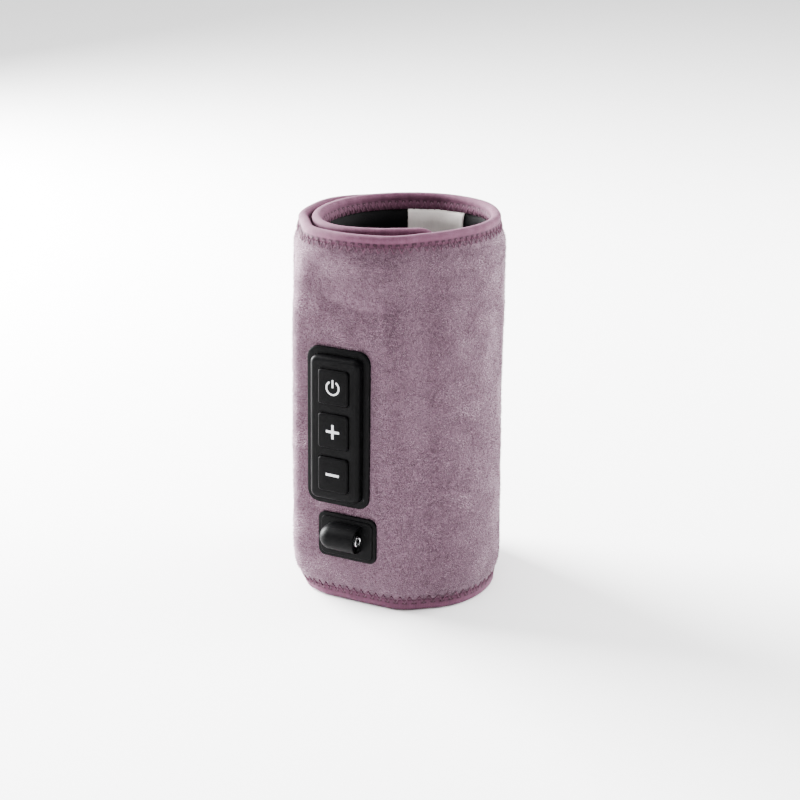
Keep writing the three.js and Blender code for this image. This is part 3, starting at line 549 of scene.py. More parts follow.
def hook_tape(f, _):
    cell = f.cells(0.7)
    base = f.fade(cell, 0.1, 0.6, (0.006, 0.006, 0.007), (0.03, 0.03, 0.033))
    return f.set(base=base, rough=0.85, normal=f.bump(cell, 0.4))


# Making and placing pieces

def to_mesh(bm, name="part"):
    mesh = bpy.data.meshes.new(name)
    bm.to_mesh(mesh)
    bm.free()
    return mesh


def to_scene(name, data):
    item = bpy.data.objects.new(name, data)
    bpy.context.scene.collection.objects.link(item)
    return item


def as_piece(bm, name, body, make, replaces=(), crisp=None):
    """Makes a bmesh a finished piece, with edges that turn by over crisp degrees kept sharp."""
    bmesh.ops.recalc_face_normals(bm, faces=bm.faces)
    if crisp:
        bm.normal_update()
        for edge in bm.edges:
            turns = len(edge.link_faces) == 2 and edge.calc_face_angle(0) > math.radians(crisp)
            edge.smooth = not turns
    mesh = to_mesh(bm, name)
    for face in mesh.polygons:
        face.use_smooth = True
    piece = to_scene(name, mesh)
    mesh.materials.append(finish_of(make))
    if body == "bend":
        low, high = (tuple(roll.lay(roll.hinge + side * (BEND_HALF - 1), WRAP_HEIGHT / 2, 0))
                     for side in (-1, 1))
        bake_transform(piece)
    else:
        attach(piece, body)
    if replaces:
        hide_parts(*replaces)
    return piece


def spaced(low, high, step, fixed=()):
    """Even places between two ends that also hit the fixed ones."""
    stops = sorted({low, high, *(x for x in fixed if low < x < high)})
    made = []
    for a, b in zip(stops, stops[1:]):
        count = max(round((b - a) / step), 1)
        made += [a + (b - a) * k / count for k in range(count)]
    return made + [high]


def grid(columns, rows):
    """A flat grid whose verts hold their column and row."""
    bm = bmesh.new()
    bmesh.ops.create_grid(bm, x_segments=columns, y_segments=rows, size=1)
    layers = [bm.verts.layers.int.new(name) for name in ("column", "row")]
    for vert in bm.verts:
        for layer, along, count in zip(layers, vert.co, (columns, rows)):
            vert[layer] = round((along + 1) / 2 * count)
    return bm, *layers


def sheet_mesh(stations, heights, outer, inner, inset, window=None):
    """A flat grid, thickened and laid on the roll, with the unit's window left out."""
    bm, column, row = grid(len(stations) - 1, len(heights) - 1)
    if window:
        left, right, low, high = window
        gone = []
        for face in bm.faces:
            along = sum(stations[v[column]] for v in face.verts) / len(face.verts)
            up = sum(heights[v[row]] for v in face.verts) / len(face.verts)
            if left < along < right and low < up < high:
                gone.append(face)
        bmesh.ops.delete(bm, geom=gone, context="FACES")
    made = bmesh.ops.extrude_face_region(bm, geom=bm.faces[:])
    under = {item for item in made["geom"] if isinstance(item, bmesh.types.BMVert)}
    middle = WRAP_HEIGHT / 2
    for vert in bm.verts:
        station = stations[vert[column]]
        level = heights[vert[row]]
        height = middle + (level - middle) * half_height(station, inset) / (middle - inset)
        depth = (inner if vert in under else outer)(station, height)
        vert.co = roll.lay(station, height, depth)
    return bm


def swell(edge, full, reach=7.0):
    """A depth that grows from the bound edge to its full measure inside it."""
    def depth(station, height):
        inward = (edge_distance(station, height) - LEG_DEPTH + 0.6) / reach
        rise = 1 - min(max(inward, 0), 1)
        return lerp(edge, full, math.sqrt(max(1 - rise * rise, 0)))
    return depth


def past_units(station, height):
    """How far a place lies beyond the flange's and the plate's sides, along and up."""
    return [(abs(roll.panel - station - x) - w / 2, abs(height - z) - h / 2)
            for x, z, w, h in UNITS]


def near_units(station, height):
    return max(1 - smooth(math.hypot(max(along, 0), max(up, 0)), 0, UNIT_FADE)
               for along, up in past_units(station, height))


def under_units(station, height):
    return any(max(past) < -UNIT_LAP for past in past_units(station, height))


def dents(station, height):
    """The soft hollows that the photograph shows in the front."""
    along = station - roll.panel
    depth = 0
    for x, z, reach_x, reach_z, tilt, deep in DENTS:
        turn = math.radians(tilt)
        dx, dz = along - x, height - z
        u = (dx * math.cos(turn) + dz * math.sin(turn)) / reach_x
        v = (dz * math.cos(turn) - dx * math.sin(turn)) / reach_z
        depth += deep * math.exp(-u * u - v * v)
    return depth


def fleece_top(station, height):
    inward = edge_distance(station, height)
    depth = lerp(1.9, 5.0, smooth(inward, 4.2, 16) ** 0.75)
    pucker = math.exp(-max(inward - 8, 0) / 4) * 0.22 * math.sin((station + height) * 0.8)
    soft = ripple(station, height, 42, 3) * 0.45 + ripple(station, height, 15, 7) * 0.1
    fade = smooth(inward, 8, 20)
    near = near_units(station, height)
    soft -= dents(station, height)
    return depth + pucker * (inward > 7) + soft * fade * (1 - near) - 0.25 * near


fleece_under = swell(0.16, 2.2)
lining_top = swell(-0.16, -2.0)
lining_flat = swell(-1.2, -3.0)


def lining_under(station, height):
    inward = edge_distance(station, height) - LEG_DEPTH
    pucker = math.exp(-max(inward, 0) / 6) * 0.2 * math.sin((station - height) * 0.41)
    return lining_flat(station, height) + pucker * (inward > -1)


SEGMENTS = (
    ("wrap", 0.0, roll.hinge - BEND_HALF),
    ("bend", roll.hinge - BEND_HALF, roll.hinge + BEND_HALF),
    ("flap", roll.hinge + BEND_HALF, roll.length),
)


def cloth_stations(low, high, inset, step):
    radius = CORNER_RADIUS - inset
    ends = [inset + radius * (1 - math.sin(k / 8 * math.pi / 2)) for k in range(9)]
    ends += [inset + radius + k * 1.4 for k in range(8)]
    fixed = ends + [roll.length - x for x in ends]
    fixed += [roll.panel - WINDOW_W, roll.panel + WINDOW_W]
    return spaced(max(low, inset), min(high, roll.length - inset), step, fixed)


def cloth_heights(inset, step):
    rim = [inset, 5.0] + [LEG_DEPTH - 1 + k * 1.3 for k in range(8)]
    fixed = rim + [WRAP_HEIGHT - x for x in rim]
    fixed += [UNIT_Z - WINDOW_H, UNIT_Z + WINDOW_H]
    return spaced(inset, WRAP_HEIGHT - inset, step, fixed)


def cloth_layer(kind, outer, inner, make, step, inset=CLOTH_INSET):
    """The three stretches of one cloth: on the wrap, over the fold line and on the flap."""
    window = (roll.panel - WINDOW_W, roll.panel + WINDOW_W, UNIT_Z - WINDOW_H, UNIT_Z + WINDOW_H)
    made = []
    for part, low, high in SEGMENTS:
        bm = sheet_mesh(cloth_stations(low, high, inset, step), cloth_heights(inset, step * 1.1),
                        outer, inner, inset, window if part == "wrap" else None)
        nodes = () if part == "bend" else (f"{part}_{kind}",)
        piece = as_piece(bm, f"{kind}_{part}", part, make, nodes, 60)
        made.append((piece, high - low))
    return made


def sheet_layer(kind, outer, inner, make, step):
    for piece, run in cloth_layer(kind, outer, inner, make, step):
        run * MM


def edge_stops(part, step=1.3):
    """Places along the outline of one stretch of the wrap, with the way in from each."""
    low, high = {name: (a, b) for name, a, b in SEGMENTS}[part]
    r, h, l = CORNER_RADIUS, WRAP_HEIGHT, roll.length

    def corner(cx, cz, start, count=12):
        return [(cx + math.cos(a) * r, cz + math.sin(a) * r, -math.cos(a), -math.sin(a))
                for a in (start - k / count * math.pi / 2 for k in range(1, count))]

    def level(a, b, z, way):
        return [(s, z, 0, way) for s in spaced(a, b, step)]

    def side(x, a, b, way):
        return [(x, z, way, 0) for z in spaced(a, b, step)]

    if part == "wrap":
        stops = level(r, high, 0, 1)[::-1] + corner(r, r, -math.pi / 2) + side(0, r, h - r, 1)
        return [stops + corner(r, h - r, math.pi) + level(r, high, h, -1)]
    if part == "flap":
        stops = level(low, l - r, h, -1) + corner(l - r, h - r, math.pi / 2)
        stops += side(l, r, h - r, -1)[::-1] + corner(l - r, r, 0)
        return [stops + level(low, l - r, 0, 1)[::-1]]
    return [level(low, high, h, -1), level(low, high, 0, 1)[::-1]]


def binding_profile():
    """The folded tape's section: how far in from the edge, and how deep, each side of the sheet."""
    face = [(6.1, 1.75), (6.35, 2.1), (6.1, 2.4), (5.5, 2.52), (4.9, 2.5), (4.4, 2.36),
            (3.9, 2.22), (3.4, 2.4), (2.9, 2.56)]
    nose = [(2.2 - 2.2 * math.cos(a), TAPE_HALF * math.sin(a))
            for a in (math.radians(d) for d in range(75, -76, -15))]
    back = [(2.7, -TAPE_HALF), (3.3, -2.42), (3.75, -2.2), (4.2, -2.42), (5.0, -2.66),
            (6.2, -2.72), (7.3, -2.66), (8.1, -2.46), (8.5, -2.15), (8.3, -1.75)]
    return face + nose + back + [(6.0, -1.5), (2.2, -1.3), (2.2, 1.3), (5.0, 1.5)]


def binding_mesh(stops, pitch):
    """A stretch of the tape, its section swept along the outline."""
    profile = binding_profile()
    bm, column, row = grid(len(stops) - 1, len(profile))
    uv = bm.loops.layers.uv.new("weave")
    runs = [0.0]
    for (a, b, _, _), (c, d, _, _) in zip(stops, stops[1:]):
        runs.append(runs[-1] + math.hypot(c - a, d - b))
    for face in bm.faces:
        for loop in face.loops:
            inward = profile[loop.vert[row] % len(profile)][0]
            loop[uv].uv = (runs[loop.vert[column]] * MM, inward * MM)
    for vert in bm.verts:
        station, height, in_x, in_z = stops[vert[column]]
        inward, depth = profile[vert[row] % len(profile)]
        beat = runs[vert[column]] / pitch * math.tau
        puff = -math.cos(beat) * 0.15 if 3.6 < inward < 6.3 else 0
        slow = ripple(station, height, 22, 11) * 0.25 * (inward > 2.2)
        depth += math.copysign(puff, depth) + slow
        vert.co = roll.lay(station + in_x * inward, height + in_z * inward, depth)
    bmesh.ops.remove_doubles(bm, verts=bm.verts, dist=1e-6)
    bmesh.ops.holes_fill(bm, edges=[e for e in bm.edges if e.is_boundary], sides=0)
    return bm


def tube(bm, radius, depth, sides, place):
    """A round bar with closed ends, along its own z."""
    bmesh.ops.create_cone(bm, cap_ends=True, segments=sides, radius1=radius, radius2=radius,
                          depth=depth, matrix=place)


def stitch_mesh(runs_of_stops, pitch, radius):
    """The zigzag on both faces, each stitch a short round thread."""
    bm = bmesh.new()
    for stops in runs_of_stops:
        run = 0.0
        due = pitch / 4
        near = True
        last = {}
        for (a, b, ax, az), (c, d, _, _) in zip(stops, stops[1:]):
            gap = math.hypot(c - a, d - b)
            while run + gap >= due:
                share = (due - run) / gap
                inward = STITCH_NEAR if near else STITCH_FAR
                station = lerp(a, c, share) + ax * inward
                height = lerp(b, d, share) + az * inward
                for side in (1, -1):
                    depth = side * TAPE_HALF
                    if not near:
                        top = fleece_top(station, height) + STITCH_LIFT
                        depth = top if side > 0 else depth - 0.3
                    place = roll.lay(station, height, depth)
                    if side in last:
                        way = place - last[side]
                        turn = way.to_track_quat("Z", "Y").to_matrix().to_4x4()
                        middle = Matrix.Translation((last[side] + place) / 2)
                        tube(bm, radius, way.length, 5, middle @ turn)
                    last[side] = place
                near = not near
                due += pitch / 2
            run += gap
    return bm


def pile_mesh(low, high, count, pile, seed):
    """Loose strands of the fleece's pile, each a slim three-sided spike."""
    bm = bmesh.new()
    shade_layer = bm.loops.layers.uv.new("strand")
    rng = random.Random(seed)
    for _ in range(count):
        station = low + rng.randrange(round((high - low) * 5)) / 5
        height = rng.uniform(PILE_EDGE, WRAP_HEIGHT - PILE_EDGE)
        size = rng.uniform(0.6, 1.3)
        lean = rng.uniform(-1, 1)
        wander = rng.uniform(0, math.tau)
        inward = edge_distance(station, height)
        if inward < PILE_EDGE or under_units(station, height):
            continue
        foot = roll.lay(station, height, fleece_top(station, height) - PILE_SINK)
        out = (roll.lay(station, height, 9) - roll.lay(station, height, 3)).normalized()
        along = Vector((-out.y, out.x, 0))
        drift = ripple(station, height, 11, 23) * 4.5
        way = out + along * (math.sin(drift) * 0.55 + lean * 0.45)
        way += Vector((0, 0, math.cos(drift) * 0.5 - 0.35 + math.sin(wander) * 0.35))
        size *= lerp(0.45, 1, smooth(inward, 7.5, 11))
        tip = foot + way.normalized() * pile * size
        width = PILE_WIDTH * MM * rng.uniform(0.7, 1.5)
        # Painted shade: strands near the binding get darker tones and no lit tips, and every foot
        # is dark, for the shade along the bound edge and between the tufts
        near = smooth(inward, 6.5, 10.5)
        tone = rng.random() * lerp(0.3, 1, near)
        ring = []
        for k in range(3):
            angle = wander + k * math.tau / 3
            ring.append(bm.verts.new(foot + along * math.cos(angle) * width
                                     + Vector((0, 0, math.sin(angle) * width))))
        point = bm.verts.new(tip)
        faces = [bm.faces.new(ring)]
        for k in range(3):
            faces.append(bm.faces.new((ring[k], point, ring[(k + 1) % 3])))
        for face in faces:
            for loop in face.loops:
                loop[shade_layer].uv = (tone, near if loop.vert is point else 0)
    return bm


# Moulded parts, drawn in the panel's plane: x to the right, y up, z outward

def bevel(bm, geom, offset, affect, segments):
    bmesh.ops.bevel(bm, geom=geom, offset=offset, offset_type="OFFSET", affect=affect,
                    segments=segments, profile=0.5, material=-1)


def plate(bm, width, height, radius, low, high, soft=0.0, segments=4, corner=8):
    """A plate with round corners and a soft front edge."""
    verts = bmesh.ops.create_grid(bm, x_segments=1, y_segments=1, size=0.5)["verts"]
    bmesh.ops.scale(bm, vec=(width, height, 1), verts=verts)
    bmesh.ops.translate(bm, vec=(0, 0, low), verts=verts)
    bevel(bm, verts, radius, "VERTICES", corner)
    up = bmesh.ops.extrude_face_region(bm, geom=bm.faces[:])
    top = [item for item in up["geom"] if isinstance(item, bmesh.types.BMVert)]
    bmesh.ops.translate(bm, vec=(0, 0, high - low), verts=top)
    if soft:
        rim = [e for e in bm.edges if all(v in top for v in e.verts) and len(e.link_faces) == 2]
        bevel(bm, rim, soft, "EDGES", segments)


def mark_bar(bm, width, height):
    plate(bm, width, height, MARK_CORNER, MARK_LOW, MARK_TOP, 0.03, 2, 4)


def mark_arc(bm, radius):
    """The power mark's open ring, spun from its own section."""
    half = 0.17
    gap = math.radians(POWER_GAP)
    start = Vector((0, 1, 0))
    start.rotate(Matrix.Rotation(-gap, 3, "Z"))
    middle = radius - POWER_STROKE + POWER_STROKE / 2
    made = bmesh.ops.create_grid(bm, x_segments=1, y_segments=1, size=0.5)
    bmesh.ops.transform(bm, verts=made["verts"], matrix=Matrix((
        (start.x * POWER_STROKE, 0, 0, start.x * middle),
        (start.y * POWER_STROKE, 0, 0, start.y * middle),
        (0, half, 0, KEY_TOP - half / 2 + 0.06), (0, 0, 0, 1))))
    bmesh.ops.spin(bm, geom=bm.verts[:] + bm.edges[:] + bm.faces[:], cent=(0, 0, 0),
                   axis=(0, 0, 1), angle=-(math.tau - 2 * gap), steps=48, use_merge=False,
                   use_duplicate=False)
    bmesh.ops.remove_doubles(bm, verts=bm.verts, dist=1e-4)


def bullet(bm, radius, front, soft=0.0, drop=3.2):
    """A bar along x with a domed back, straight sides and a soft front edge."""
    made = bmesh.ops.create_uvsphere(bm, u_segments=48, v_segments=24, radius=radius)
    bmesh.ops.rotate(bm, verts=made["verts"], cent=(0, 0, 0),
                     matrix=Matrix.Rotation(math.pi / 2, 3, "Y"))
    for normal, side in (((1, 0, 0), "clear_outer"), ((0, 0, 1), "clear_inner")):
        bmesh.ops.bisect_plane(bm, geom=bm.verts[:] + bm.edges[:] + bm.faces[:],
                               plane_co=(0, 0, 0), plane_no=normal, **{side: True})
    bmesh.ops.translate(bm, vec=(-HOUSING_BACK, 0, 0), verts=bm.verts)
    for axis, level, move in ((2, 0, (0, 0, -drop)),
                              (0, -HOUSING_BACK, (front + HOUSING_BACK, 0, 0))):
        rim = [e for e in bm.edges if e.is_boundary
               and all(abs(v.co[axis] - level) < 1e-4 for v in e.verts)]
        made = bmesh.ops.extrude_edge_only(bm, edges=rim)["geom"]
        bmesh.ops.translate(bm, vec=move,
                            verts=[v for v in made if isinstance(v, bmesh.types.BMVert)])
    bmesh.ops.holes_fill(bm, edges=[e for e in bm.edges if e.is_boundary], sides=0)
    if soft:
        rim = [e for e in bm.edges if all(abs(v.co.x - front) < 1e-4 for v in e.verts)
               and any(v.co.z > -drop + 1e-3 for v in e.verts)]
        bevel(bm, rim, soft, "EDGES", 4)


def mesh_of(build, *sizes, shift=(0, 0, 0)):
    """A closed mesh of one shape, moved in the panel's plane."""
    bm = bmesh.new()
    build(bm, *sizes)
    bmesh.ops.recalc_face_normals(bm, faces=bm.faces)
    mesh = to_mesh(bm)
    mesh.transform(Matrix.Translation(shift))
    return mesh


def gather(*meshes):
    """Several meshes side by side in one bmesh."""
    bm = bmesh.new()
    for mesh in meshes:
        bm.from_mesh(mesh)
        bpy.data.meshes.remove(mesh)
    return bm


def boolean(mesh, tools, operation="DIFFERENCE"):
    """Cuts or joins closed meshes and gives the result as a bmesh."""
    body = to_scene("work", mesh)
    helpers = [to_scene("tool", tool) for tool in tools]
    for helper in helpers:
        cut = body.modifiers.new("cut", "BOOLEAN")
        cut.operation = operation
        cut.solver = "EXACT"
        cut.object = helper
    bpy.context.view_layer.update()
    shaped = body.evaluated_get(bpy.context.evaluated_depsgraph_get())
    bm = bmesh.new()
    bm.from_mesh(shaped.to_mesh())
    shaped.to_mesh_clear()
    for item in [body] + helpers:
        data = item.data
        bpy.data.objects.remove(item)
        bpy.data.meshes.remove(data)
    return bm


def panel_piece(bm, x, z, name, body, make, nodes=(), crisp=35):
    """Takes a part from the panel's plane to its place on the roll, as a crisp piece."""
    centre = roll.centre(roll.panel) + roll.shift
    turn = Matrix.Rotation(math.pi / 2, 4, "X")
    place = Matrix.Translation((centre.x * MM, roll.panel_y * MM, z * MM)) @ turn
    bmesh.ops.transform(bm, matrix=place @ Matrix.Scale(MM, 4) @ Matrix.Translation((x, 0, 0)),
                        verts=bm.verts)
    return as_piece(bm, name, body, make, nodes, crisp)


def give(make, *names):
    """Finishes solids that stay as they are."""
    for name in names:
        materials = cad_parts[name].data.materials
        materials.clear()
        materials.append(finish_of(make))


class MassagerOperator:
    """What all the operators share."""

    bl_options = {"REGISTER", "UNDO"}

    @property
    def sizes(self):
        return bpy.context.scene.massager_sizes

    def execute(self, context):
        self.build()
        return {"FINISHED"}


class MASSAGER_OT_fleece(MassagerOperator, bpy.types.Operator):
    """Lays the fleece outside of the wrap and the flap"""
    bl_idname = "massager.fleece"
    bl_label = "Fleece"

    def build(self):
        sheet_layer("fleece", fleece_top, fleece_under, fleece_ground, 2.1)


class MASSAGER_OT_pile(MassagerOperator, bpy.types.Operator):
    """Plants the loose pile on the fleece that shows"""
    bl_idname = "massager.pile"
    bl_label = "Pile"

    def build(self):
        first, front, left = (roll.station(turn) for turn in PILE_TURNS)
        (_, bend_low, bend_high) = SEGMENTS[1]
        stretches = [("wrap_right", first, front, "wrap"), ("wrap_front", front, left, "wrap"),
                     ("wrap_left", left, bend_low, "wrap"), ("bend", bend_low, bend_high, "bend"),
                     ("flap", bend_high, roll.length, "flap")]
        share = self.sizes.tufts / (roll.length - first)
        for index, (name, low, high, body) in enumerate(stretches):
            bm = pile_mesh(low, high, int(share * (high - low)), self.sizes.pile, 40 + index)
            as_piece(bm, f"pile_{name}", body, fleece_pile)


class MASSAGER_OT_padding(MassagerOperator, bpy.types.Operator):
    """Lays the foam and the smooth black lining"""
    bl_idname = "massager.padding"
    bl_label = "Padding and lining"

    def build(self):
        sheet_layer("lining", lining_top, lining_under, lining_cloth, 3.2)
        for piece, _ in cloth_layer("foam", lambda s, z: FOAM_OUTER, lambda s, z: FOAM_INNER,
                                    pad_foam, 5.0, FOAM_INSET):
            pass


class MASSAGER_OT_binding(MassagerOperator, bpy.types.Operator):
    """Sews the binding round the edge with its zigzag"""
    bl_idname = "massager.binding"
    bl_label = "Binding"

    def build(self):
        pitch = self.sizes.stitch / MM
        for part, _, _ in SEGMENTS:
            runs = edge_stops(part)
            tape = gather(*[to_mesh(binding_mesh(stops, pitch)) for stops in runs])
            nodes = () if part == "bend" else (f"{part}_binding",)
            as_piece(tape, f"binding_{part}", part, binding_cloth, nodes, 60)
            sewn = stitch_mesh(runs, pitch, self.sizes.thread / 2)
            as_piece(sewn, f"stitching_{part}", part, sewing_thread)


class MASSAGER_OT_tag(MassagerOperator, bpy.types.Operator):
    """Hangs the blank satin tag under the binding, inside the roll"""
    bl_idname = "massager.tag"
    bl_label = "Tag"

    def build(self):
        low = roll.station(TAG_TURN)
        top = WRAP_HEIGHT - LEG_DEPTH + 0.6

        def face(station, height):
            free = (top - height) / TAG_H
            aside = (station - low) / TAG_W
            curl = 0.5 * free * math.sin(aside * math.pi * 1.6 + 0.5) + 1.2 * free * free
            soft = 0.35 * ripple(station, height, 13, 5) * free
            return lining_under(station, height) - 0.35 - curl - soft

        bm = sheet_mesh(spaced(low, low + TAG_W, 1.2), spaced(top - TAG_H, top, 1.2), face,
                        lambda s, z: face(s, z) - TAG_THICK, 0)
        for vert in bm.verts:
            vert.co.z = min(vert.co.z, top * MM)
        piece = as_piece(bm, "care_tag_cloth", "wrap", satin_tag, ("care_tag",))


class MASSAGER_OT_control(MassagerOperator, bpy.types.Operator):
    """Moulds the control unit's flange, case and keys"""
    bl_idname = "massager.control"
    bl_label = "Control unit"

    def build(self):
        bm = boolean(mesh_of(plate, FLANGE_W, FLANGE_H, FLANGE_R, FLANGE_LOW, FLANGE_TOP, 0.7, 3),
                     [mesh_of(plate, CASE_W + 0.5, CASE_H + 0.5, CASE_R, FLANGE_LOW - 3,
                              FLANGE_TOP + 3)])
        panel_piece(bm, 0, UNIT_Z, "flange_soft", "wrap", case_plastic,
                    ("control_flange",))
        outer = mesh_of(plate, CASE_W, CASE_H, CASE_R, CASE_LOW, CASE_TOP, 2.2, 6)
        tools = [mesh_of(plate, CASE_W - 2 * CASE_WALL, CASE_H - 2 * CASE_WALL, CASE_R - 0.8, 0,
                         CASE_TOP - CASE_WALL)]
        for offset in KEY_PLACES.values():
            tools.append(mesh_of(plate, KEY_W + 0.7, KEY_H + 0.7, KEY_R + 0.3, 0, CASE_TOP + 3,
                                 shift=(0, KEY_Z + offset - UNIT_Z, 0)))
        panel_piece(boolean(outer, tools), 0, UNIT_Z, "case_cover", "wrap", case_plastic,
                    ("front_case",))
        for name, offset in KEY_PLACES.items():
            self.key(name, KEY_Z + offset)

    def key(self, name, height):
        body = f"{name}_key"
        bm = gather(mesh_of(plate, KEY_W, KEY_H, KEY_R, CASE_TOP - 3, KEY_TOP, 0.9, 5),
                    mesh_of(plate, KEY_W + 1.2, KEY_H + 1.2, KEY_R + 0.3, CASE_TOP - 2.5,
                            CASE_TOP - 1.6),
                    mesh_of(tube, STEM_R, STEM_LENGTH, 24, Matrix.Translation((0, 0, STEM_Z))))
        panel_piece(bm, 0, height, f"{name}_cap", body, key_rubber, (body,))
        panel_piece(self.mark(name), 0, height, f"{name}_mark", body, key_print)

    def mark(self, name):
        size = self.sizes.mark / MM
        if name == "power":
            width, height, up = POWER_BAR
            return gather(mesh_of(mark_bar, width, height, shift=(0, up, 0)),
                          mesh_of(mark_arc, size / 2))
        across = mesh_of(mark_bar, size * 0.95, MARK_STROKE)
        if name == "minus":
            return gather(across)
        return boolean(across, [mesh_of(mark_bar, MARK_STROKE, size * 0.95)], "UNION")


class MASSAGER_OT_inlet(MassagerOperator, bpy.types.Operator):
    """Moulds the charging inlet's plate and half-round housing"""
    bl_idname = "massager.inlet"
    bl_label = "Charging inlet"

    def build(self):
        base = mesh_of(plate, PLATE_W, PLATE_H, PLATE_R, FLANGE_LOW, 6.5, 0.4, 3)
        step = mesh_of(plate, PLATE_W - 3.6, PLATE_H - 3.6, PLATE_R - 0.9, 5.6, 7.2, 0.5, 3)
        pegs = [mesh_of(tube, PEG_R, PEG_LENGTH, 20, Matrix.Translation((x, 0, PEG_Z)))
                for x in (-PEG_X, PEG_X)]
        panel_piece(boolean(base, [step] + pegs, "UNION"), PLATE_X, PLATE_Z, "inlet_plate_soft",
                    "wrap", case_plastic, ("inlet_plate",))
        outer = mesh_of(bullet, HOUSING_R, HOUSING_FRONT, 0.5)
        hollow = mesh_of(bullet, HOUSING_R - HOUSING_WALL, HOUSING_FRONT - HOUSING_WALL, 0, 6)
        along = Matrix.Rotation(math.pi / 2, 4, "Y")
        mouth = mesh_of(tube, MOUTH_R, MOUTH_LENGTH, 48, Matrix.Translation((15, 0, 0.7)) @ along)
        bm = boolean(outer, [hollow, mouth])
        bmesh.ops.translate(bm, vec=(0, 0, HOUSING_AXIS), verts=bm.verts)
        panel_piece(bm, PLATE_X, PLATE_Z + HOUSING_RISE, "inlet_barrel", "wrap", case_plastic,
                    ("inlet_housing",))
        panel_piece(self.sleeve(), PLATE_X, PLATE_Z + HOUSING_RISE, "socket_sleeve", "wrap",
                    bright_steel, ("jack_ring",), 30)

    def sleeve(self):
        """The socket's metal sleeve, spun round its axis."""
        bm = bmesh.new()
        front = HOUSING_FRONT + 0.2
        back = front - SLEEVE_LENGTH
        section = [(back, SLEEVE_BORE), (front - 0.25, SLEEVE_BORE), (front, SLEEVE_BORE + 0.2),
                   (front, SLEEVE_R - 0.2), (front - 0.25, SLEEVE_R), (back, SLEEVE_R)]
        verts = [bm.verts.new((x, 0, r)) for x, r in section]
        edges = [bm.edges.new((a, b)) for a, b in zip(verts, verts[1:] + verts[:1])]
        bmesh.ops.spin(bm, geom=verts + edges, cent=(0, 0, 0), axis=(1, 0, 0), angle=math.tau,
                       steps=48, use_merge=True, use_duplicate=False)
        bmesh.ops.remove_doubles(bm, verts=bm.verts, dist=1e-4)
        bmesh.ops.translate(bm, vec=(0, 0, SLEEVE_AXIS), verts=bm.verts)
        return bm


class MASSAGER_OT_works(MassagerOperator, bpy.types.Operator):
    """Finishes the solids that stay as they are: the inner works and the small metal parts"""
    bl_idname = "massager.works"
    bl_label = "Inner works"

    def build(self):
        give(case_plastic, "rear_case", "inlet_clamp", "jack_body", "power_switch",
             "plus_switch", "minus_switch")
        give(bright_steel, *[f"case_screw_{k}" for k in (1, 2, 3, 4)],
             *[f"motor_{k}_{part}" for k in (1, 2, 3) for part in ("case", "base", "weight")])
        give(dull_pin, "jack_pin")
        give(board_lacquer, "circuit_board")
        give(cell_foil, "battery_cell")
        give(cable_sheath, "inlet_lead", "motor_lead")
        give(hook_tape, "hook_patch")


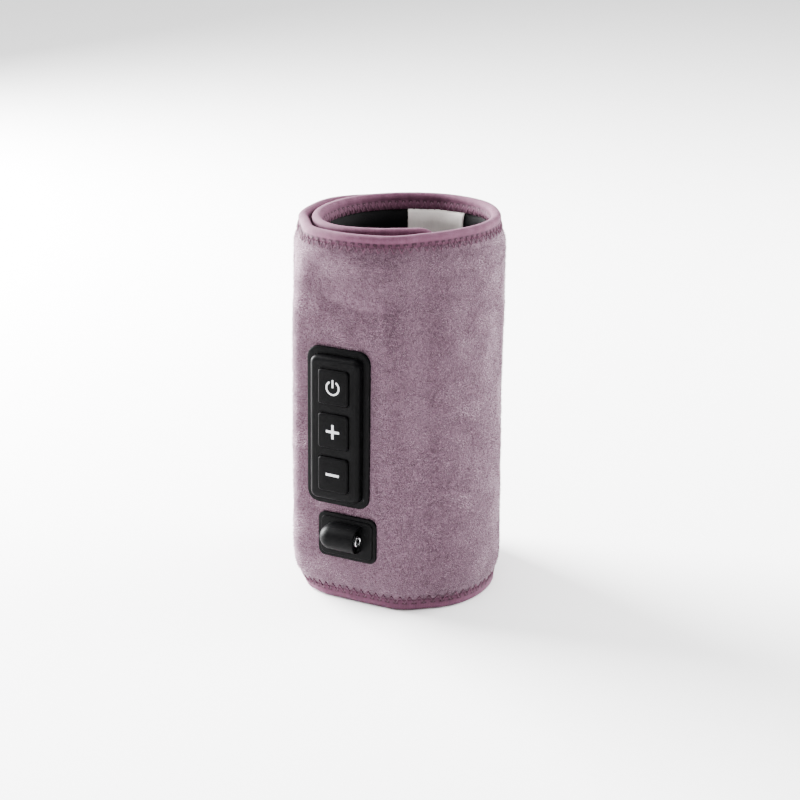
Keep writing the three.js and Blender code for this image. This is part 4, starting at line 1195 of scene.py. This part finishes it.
class MASSAGER_OT_stage(MassagerOperator, bpy.types.Operator):
    """Sets the floor, the soft lights and the camera"""
    bl_idname = "massager.stage"
    bl_label = "Stage"

    def build(self):
        self.floor()
        self.lights()
        self.camera()

    def floor(self):
        bm = bmesh.new()
        bmesh.ops.create_grid(bm, x_segments=1, y_segments=1, size=self.sizes.floor / 2)
        floor = to_scene("floor", to_mesh(bm, "floor"))
        paper = Finish("studio_paper")
        tone = paper.tint(paper.noise(3), (0.94, 0.94, 0.94), (0.95, 0.95, 0.95))
        floor.data.materials.append(paper.set(base=tone, rough=0.9, specular=0.1))

    def lights(self):
        world = bpy.data.worlds.new("studio")
        world.use_nodes = True
        back = world.node_tree.nodes["Background"]
        back.inputs[0].default_value = (1, 1, 1, 1)
        back.inputs[1].default_value = WORLD_LIGHT
        bpy.context.scene.world = world
        for name, (place, size, power) in LIGHTS.items():
            lamp = bpy.data.lights.new(name, "AREA")
            lamp.shape = "SQUARE"
            lamp.size = size
            lamp.energy = power
            holder = to_scene(name, lamp)
            holder.location = place
            way = Vector((0, 0, 0.1)) - Vector(place)
            holder.rotation_euler = way.to_track_quat("-Z", "Y").to_euler()

    def camera(self):
        data = bpy.data.cameras.new("camera")
        data.sensor_width = SENSOR
        data.sensor_height = SENSOR
        data.sensor_fit = "HORIZONTAL"
        data.lens = SENSOR * FOCAL / PICTURE
        data.clip_start = 0.05
        holder = to_scene("camera", data)
        azimuth, elevation = math.radians(CAMERA_TURN), math.radians(CAMERA_RISE)
        away = Vector((math.sin(azimuth) * math.cos(elevation),
                       -math.cos(azimuth) * math.cos(elevation), math.sin(elevation)))
        turn = (-away).to_track_quat("-Z", "Y").to_matrix()
        right, up = turn @ Vector((1, 0, 0)), turn @ Vector((0, 1, 0))
        target = Vector(CAMERA_TARGET) + right * (CAMERA_ASIDE / FOCAL) + up * (CAMERA_UP / FOCAL)
        holder.location = target + away * CAMERA_AWAY
        turn = turn @ Matrix.Rotation(math.radians(CAMERA_ROLL), 3, "Z")
        holder.rotation_euler = turn.to_euler()
        bpy.context.scene.camera = holder


OPERATORS = (
    MASSAGER_OT_stage,
    MASSAGER_OT_fleece,
    MASSAGER_OT_pile,
    MASSAGER_OT_padding,
    MASSAGER_OT_binding,
    MASSAGER_OT_tag,
    MASSAGER_OT_control,
    MASSAGER_OT_inlet,
    MASSAGER_OT_works,
)


class MASSAGER_PT_sidebar(bpy.types.Panel):
    """Lists the massager's pieces"""
    bl_idname = "MASSAGER_PT_sidebar"
    bl_label = "Leg massager"
    bl_space_type = "VIEW_3D"
    bl_region_type = "UI"
    bl_category = "Massager"

    def draw(self, context):
        for operator in OPERATORS:
            self.layout.operator(operator.bl_idname)
        for group in (context.scene.massager_colours, context.scene.massager_sizes):
            box = self.layout.box()
            for name in group.__annotations__:
                box.prop(group, name)


CLASSES = (MassagerColours, MassagerSizes) + OPERATORS + (MASSAGER_PT_sidebar,)


def register():
    for item in CLASSES:
        bpy.utils.register_class(item)
    bpy.types.Scene.massager_colours = PointerProperty(type=MassagerColours)
    bpy.types.Scene.massager_sizes = PointerProperty(type=MassagerSizes)


def unregister():
    del bpy.types.Scene.massager_sizes
    del bpy.types.Scene.massager_colours
    for item in reversed(CLASSES):
        bpy.utils.unregister_class(item)


def main():
    register()
    for operator in OPERATORS:
        group, name = operator.bl_idname.split(".")
        getattr(getattr(bpy.ops, group), name)()
    bpy.context.view_layer.update()


if __name__ == "__main__":
    main()
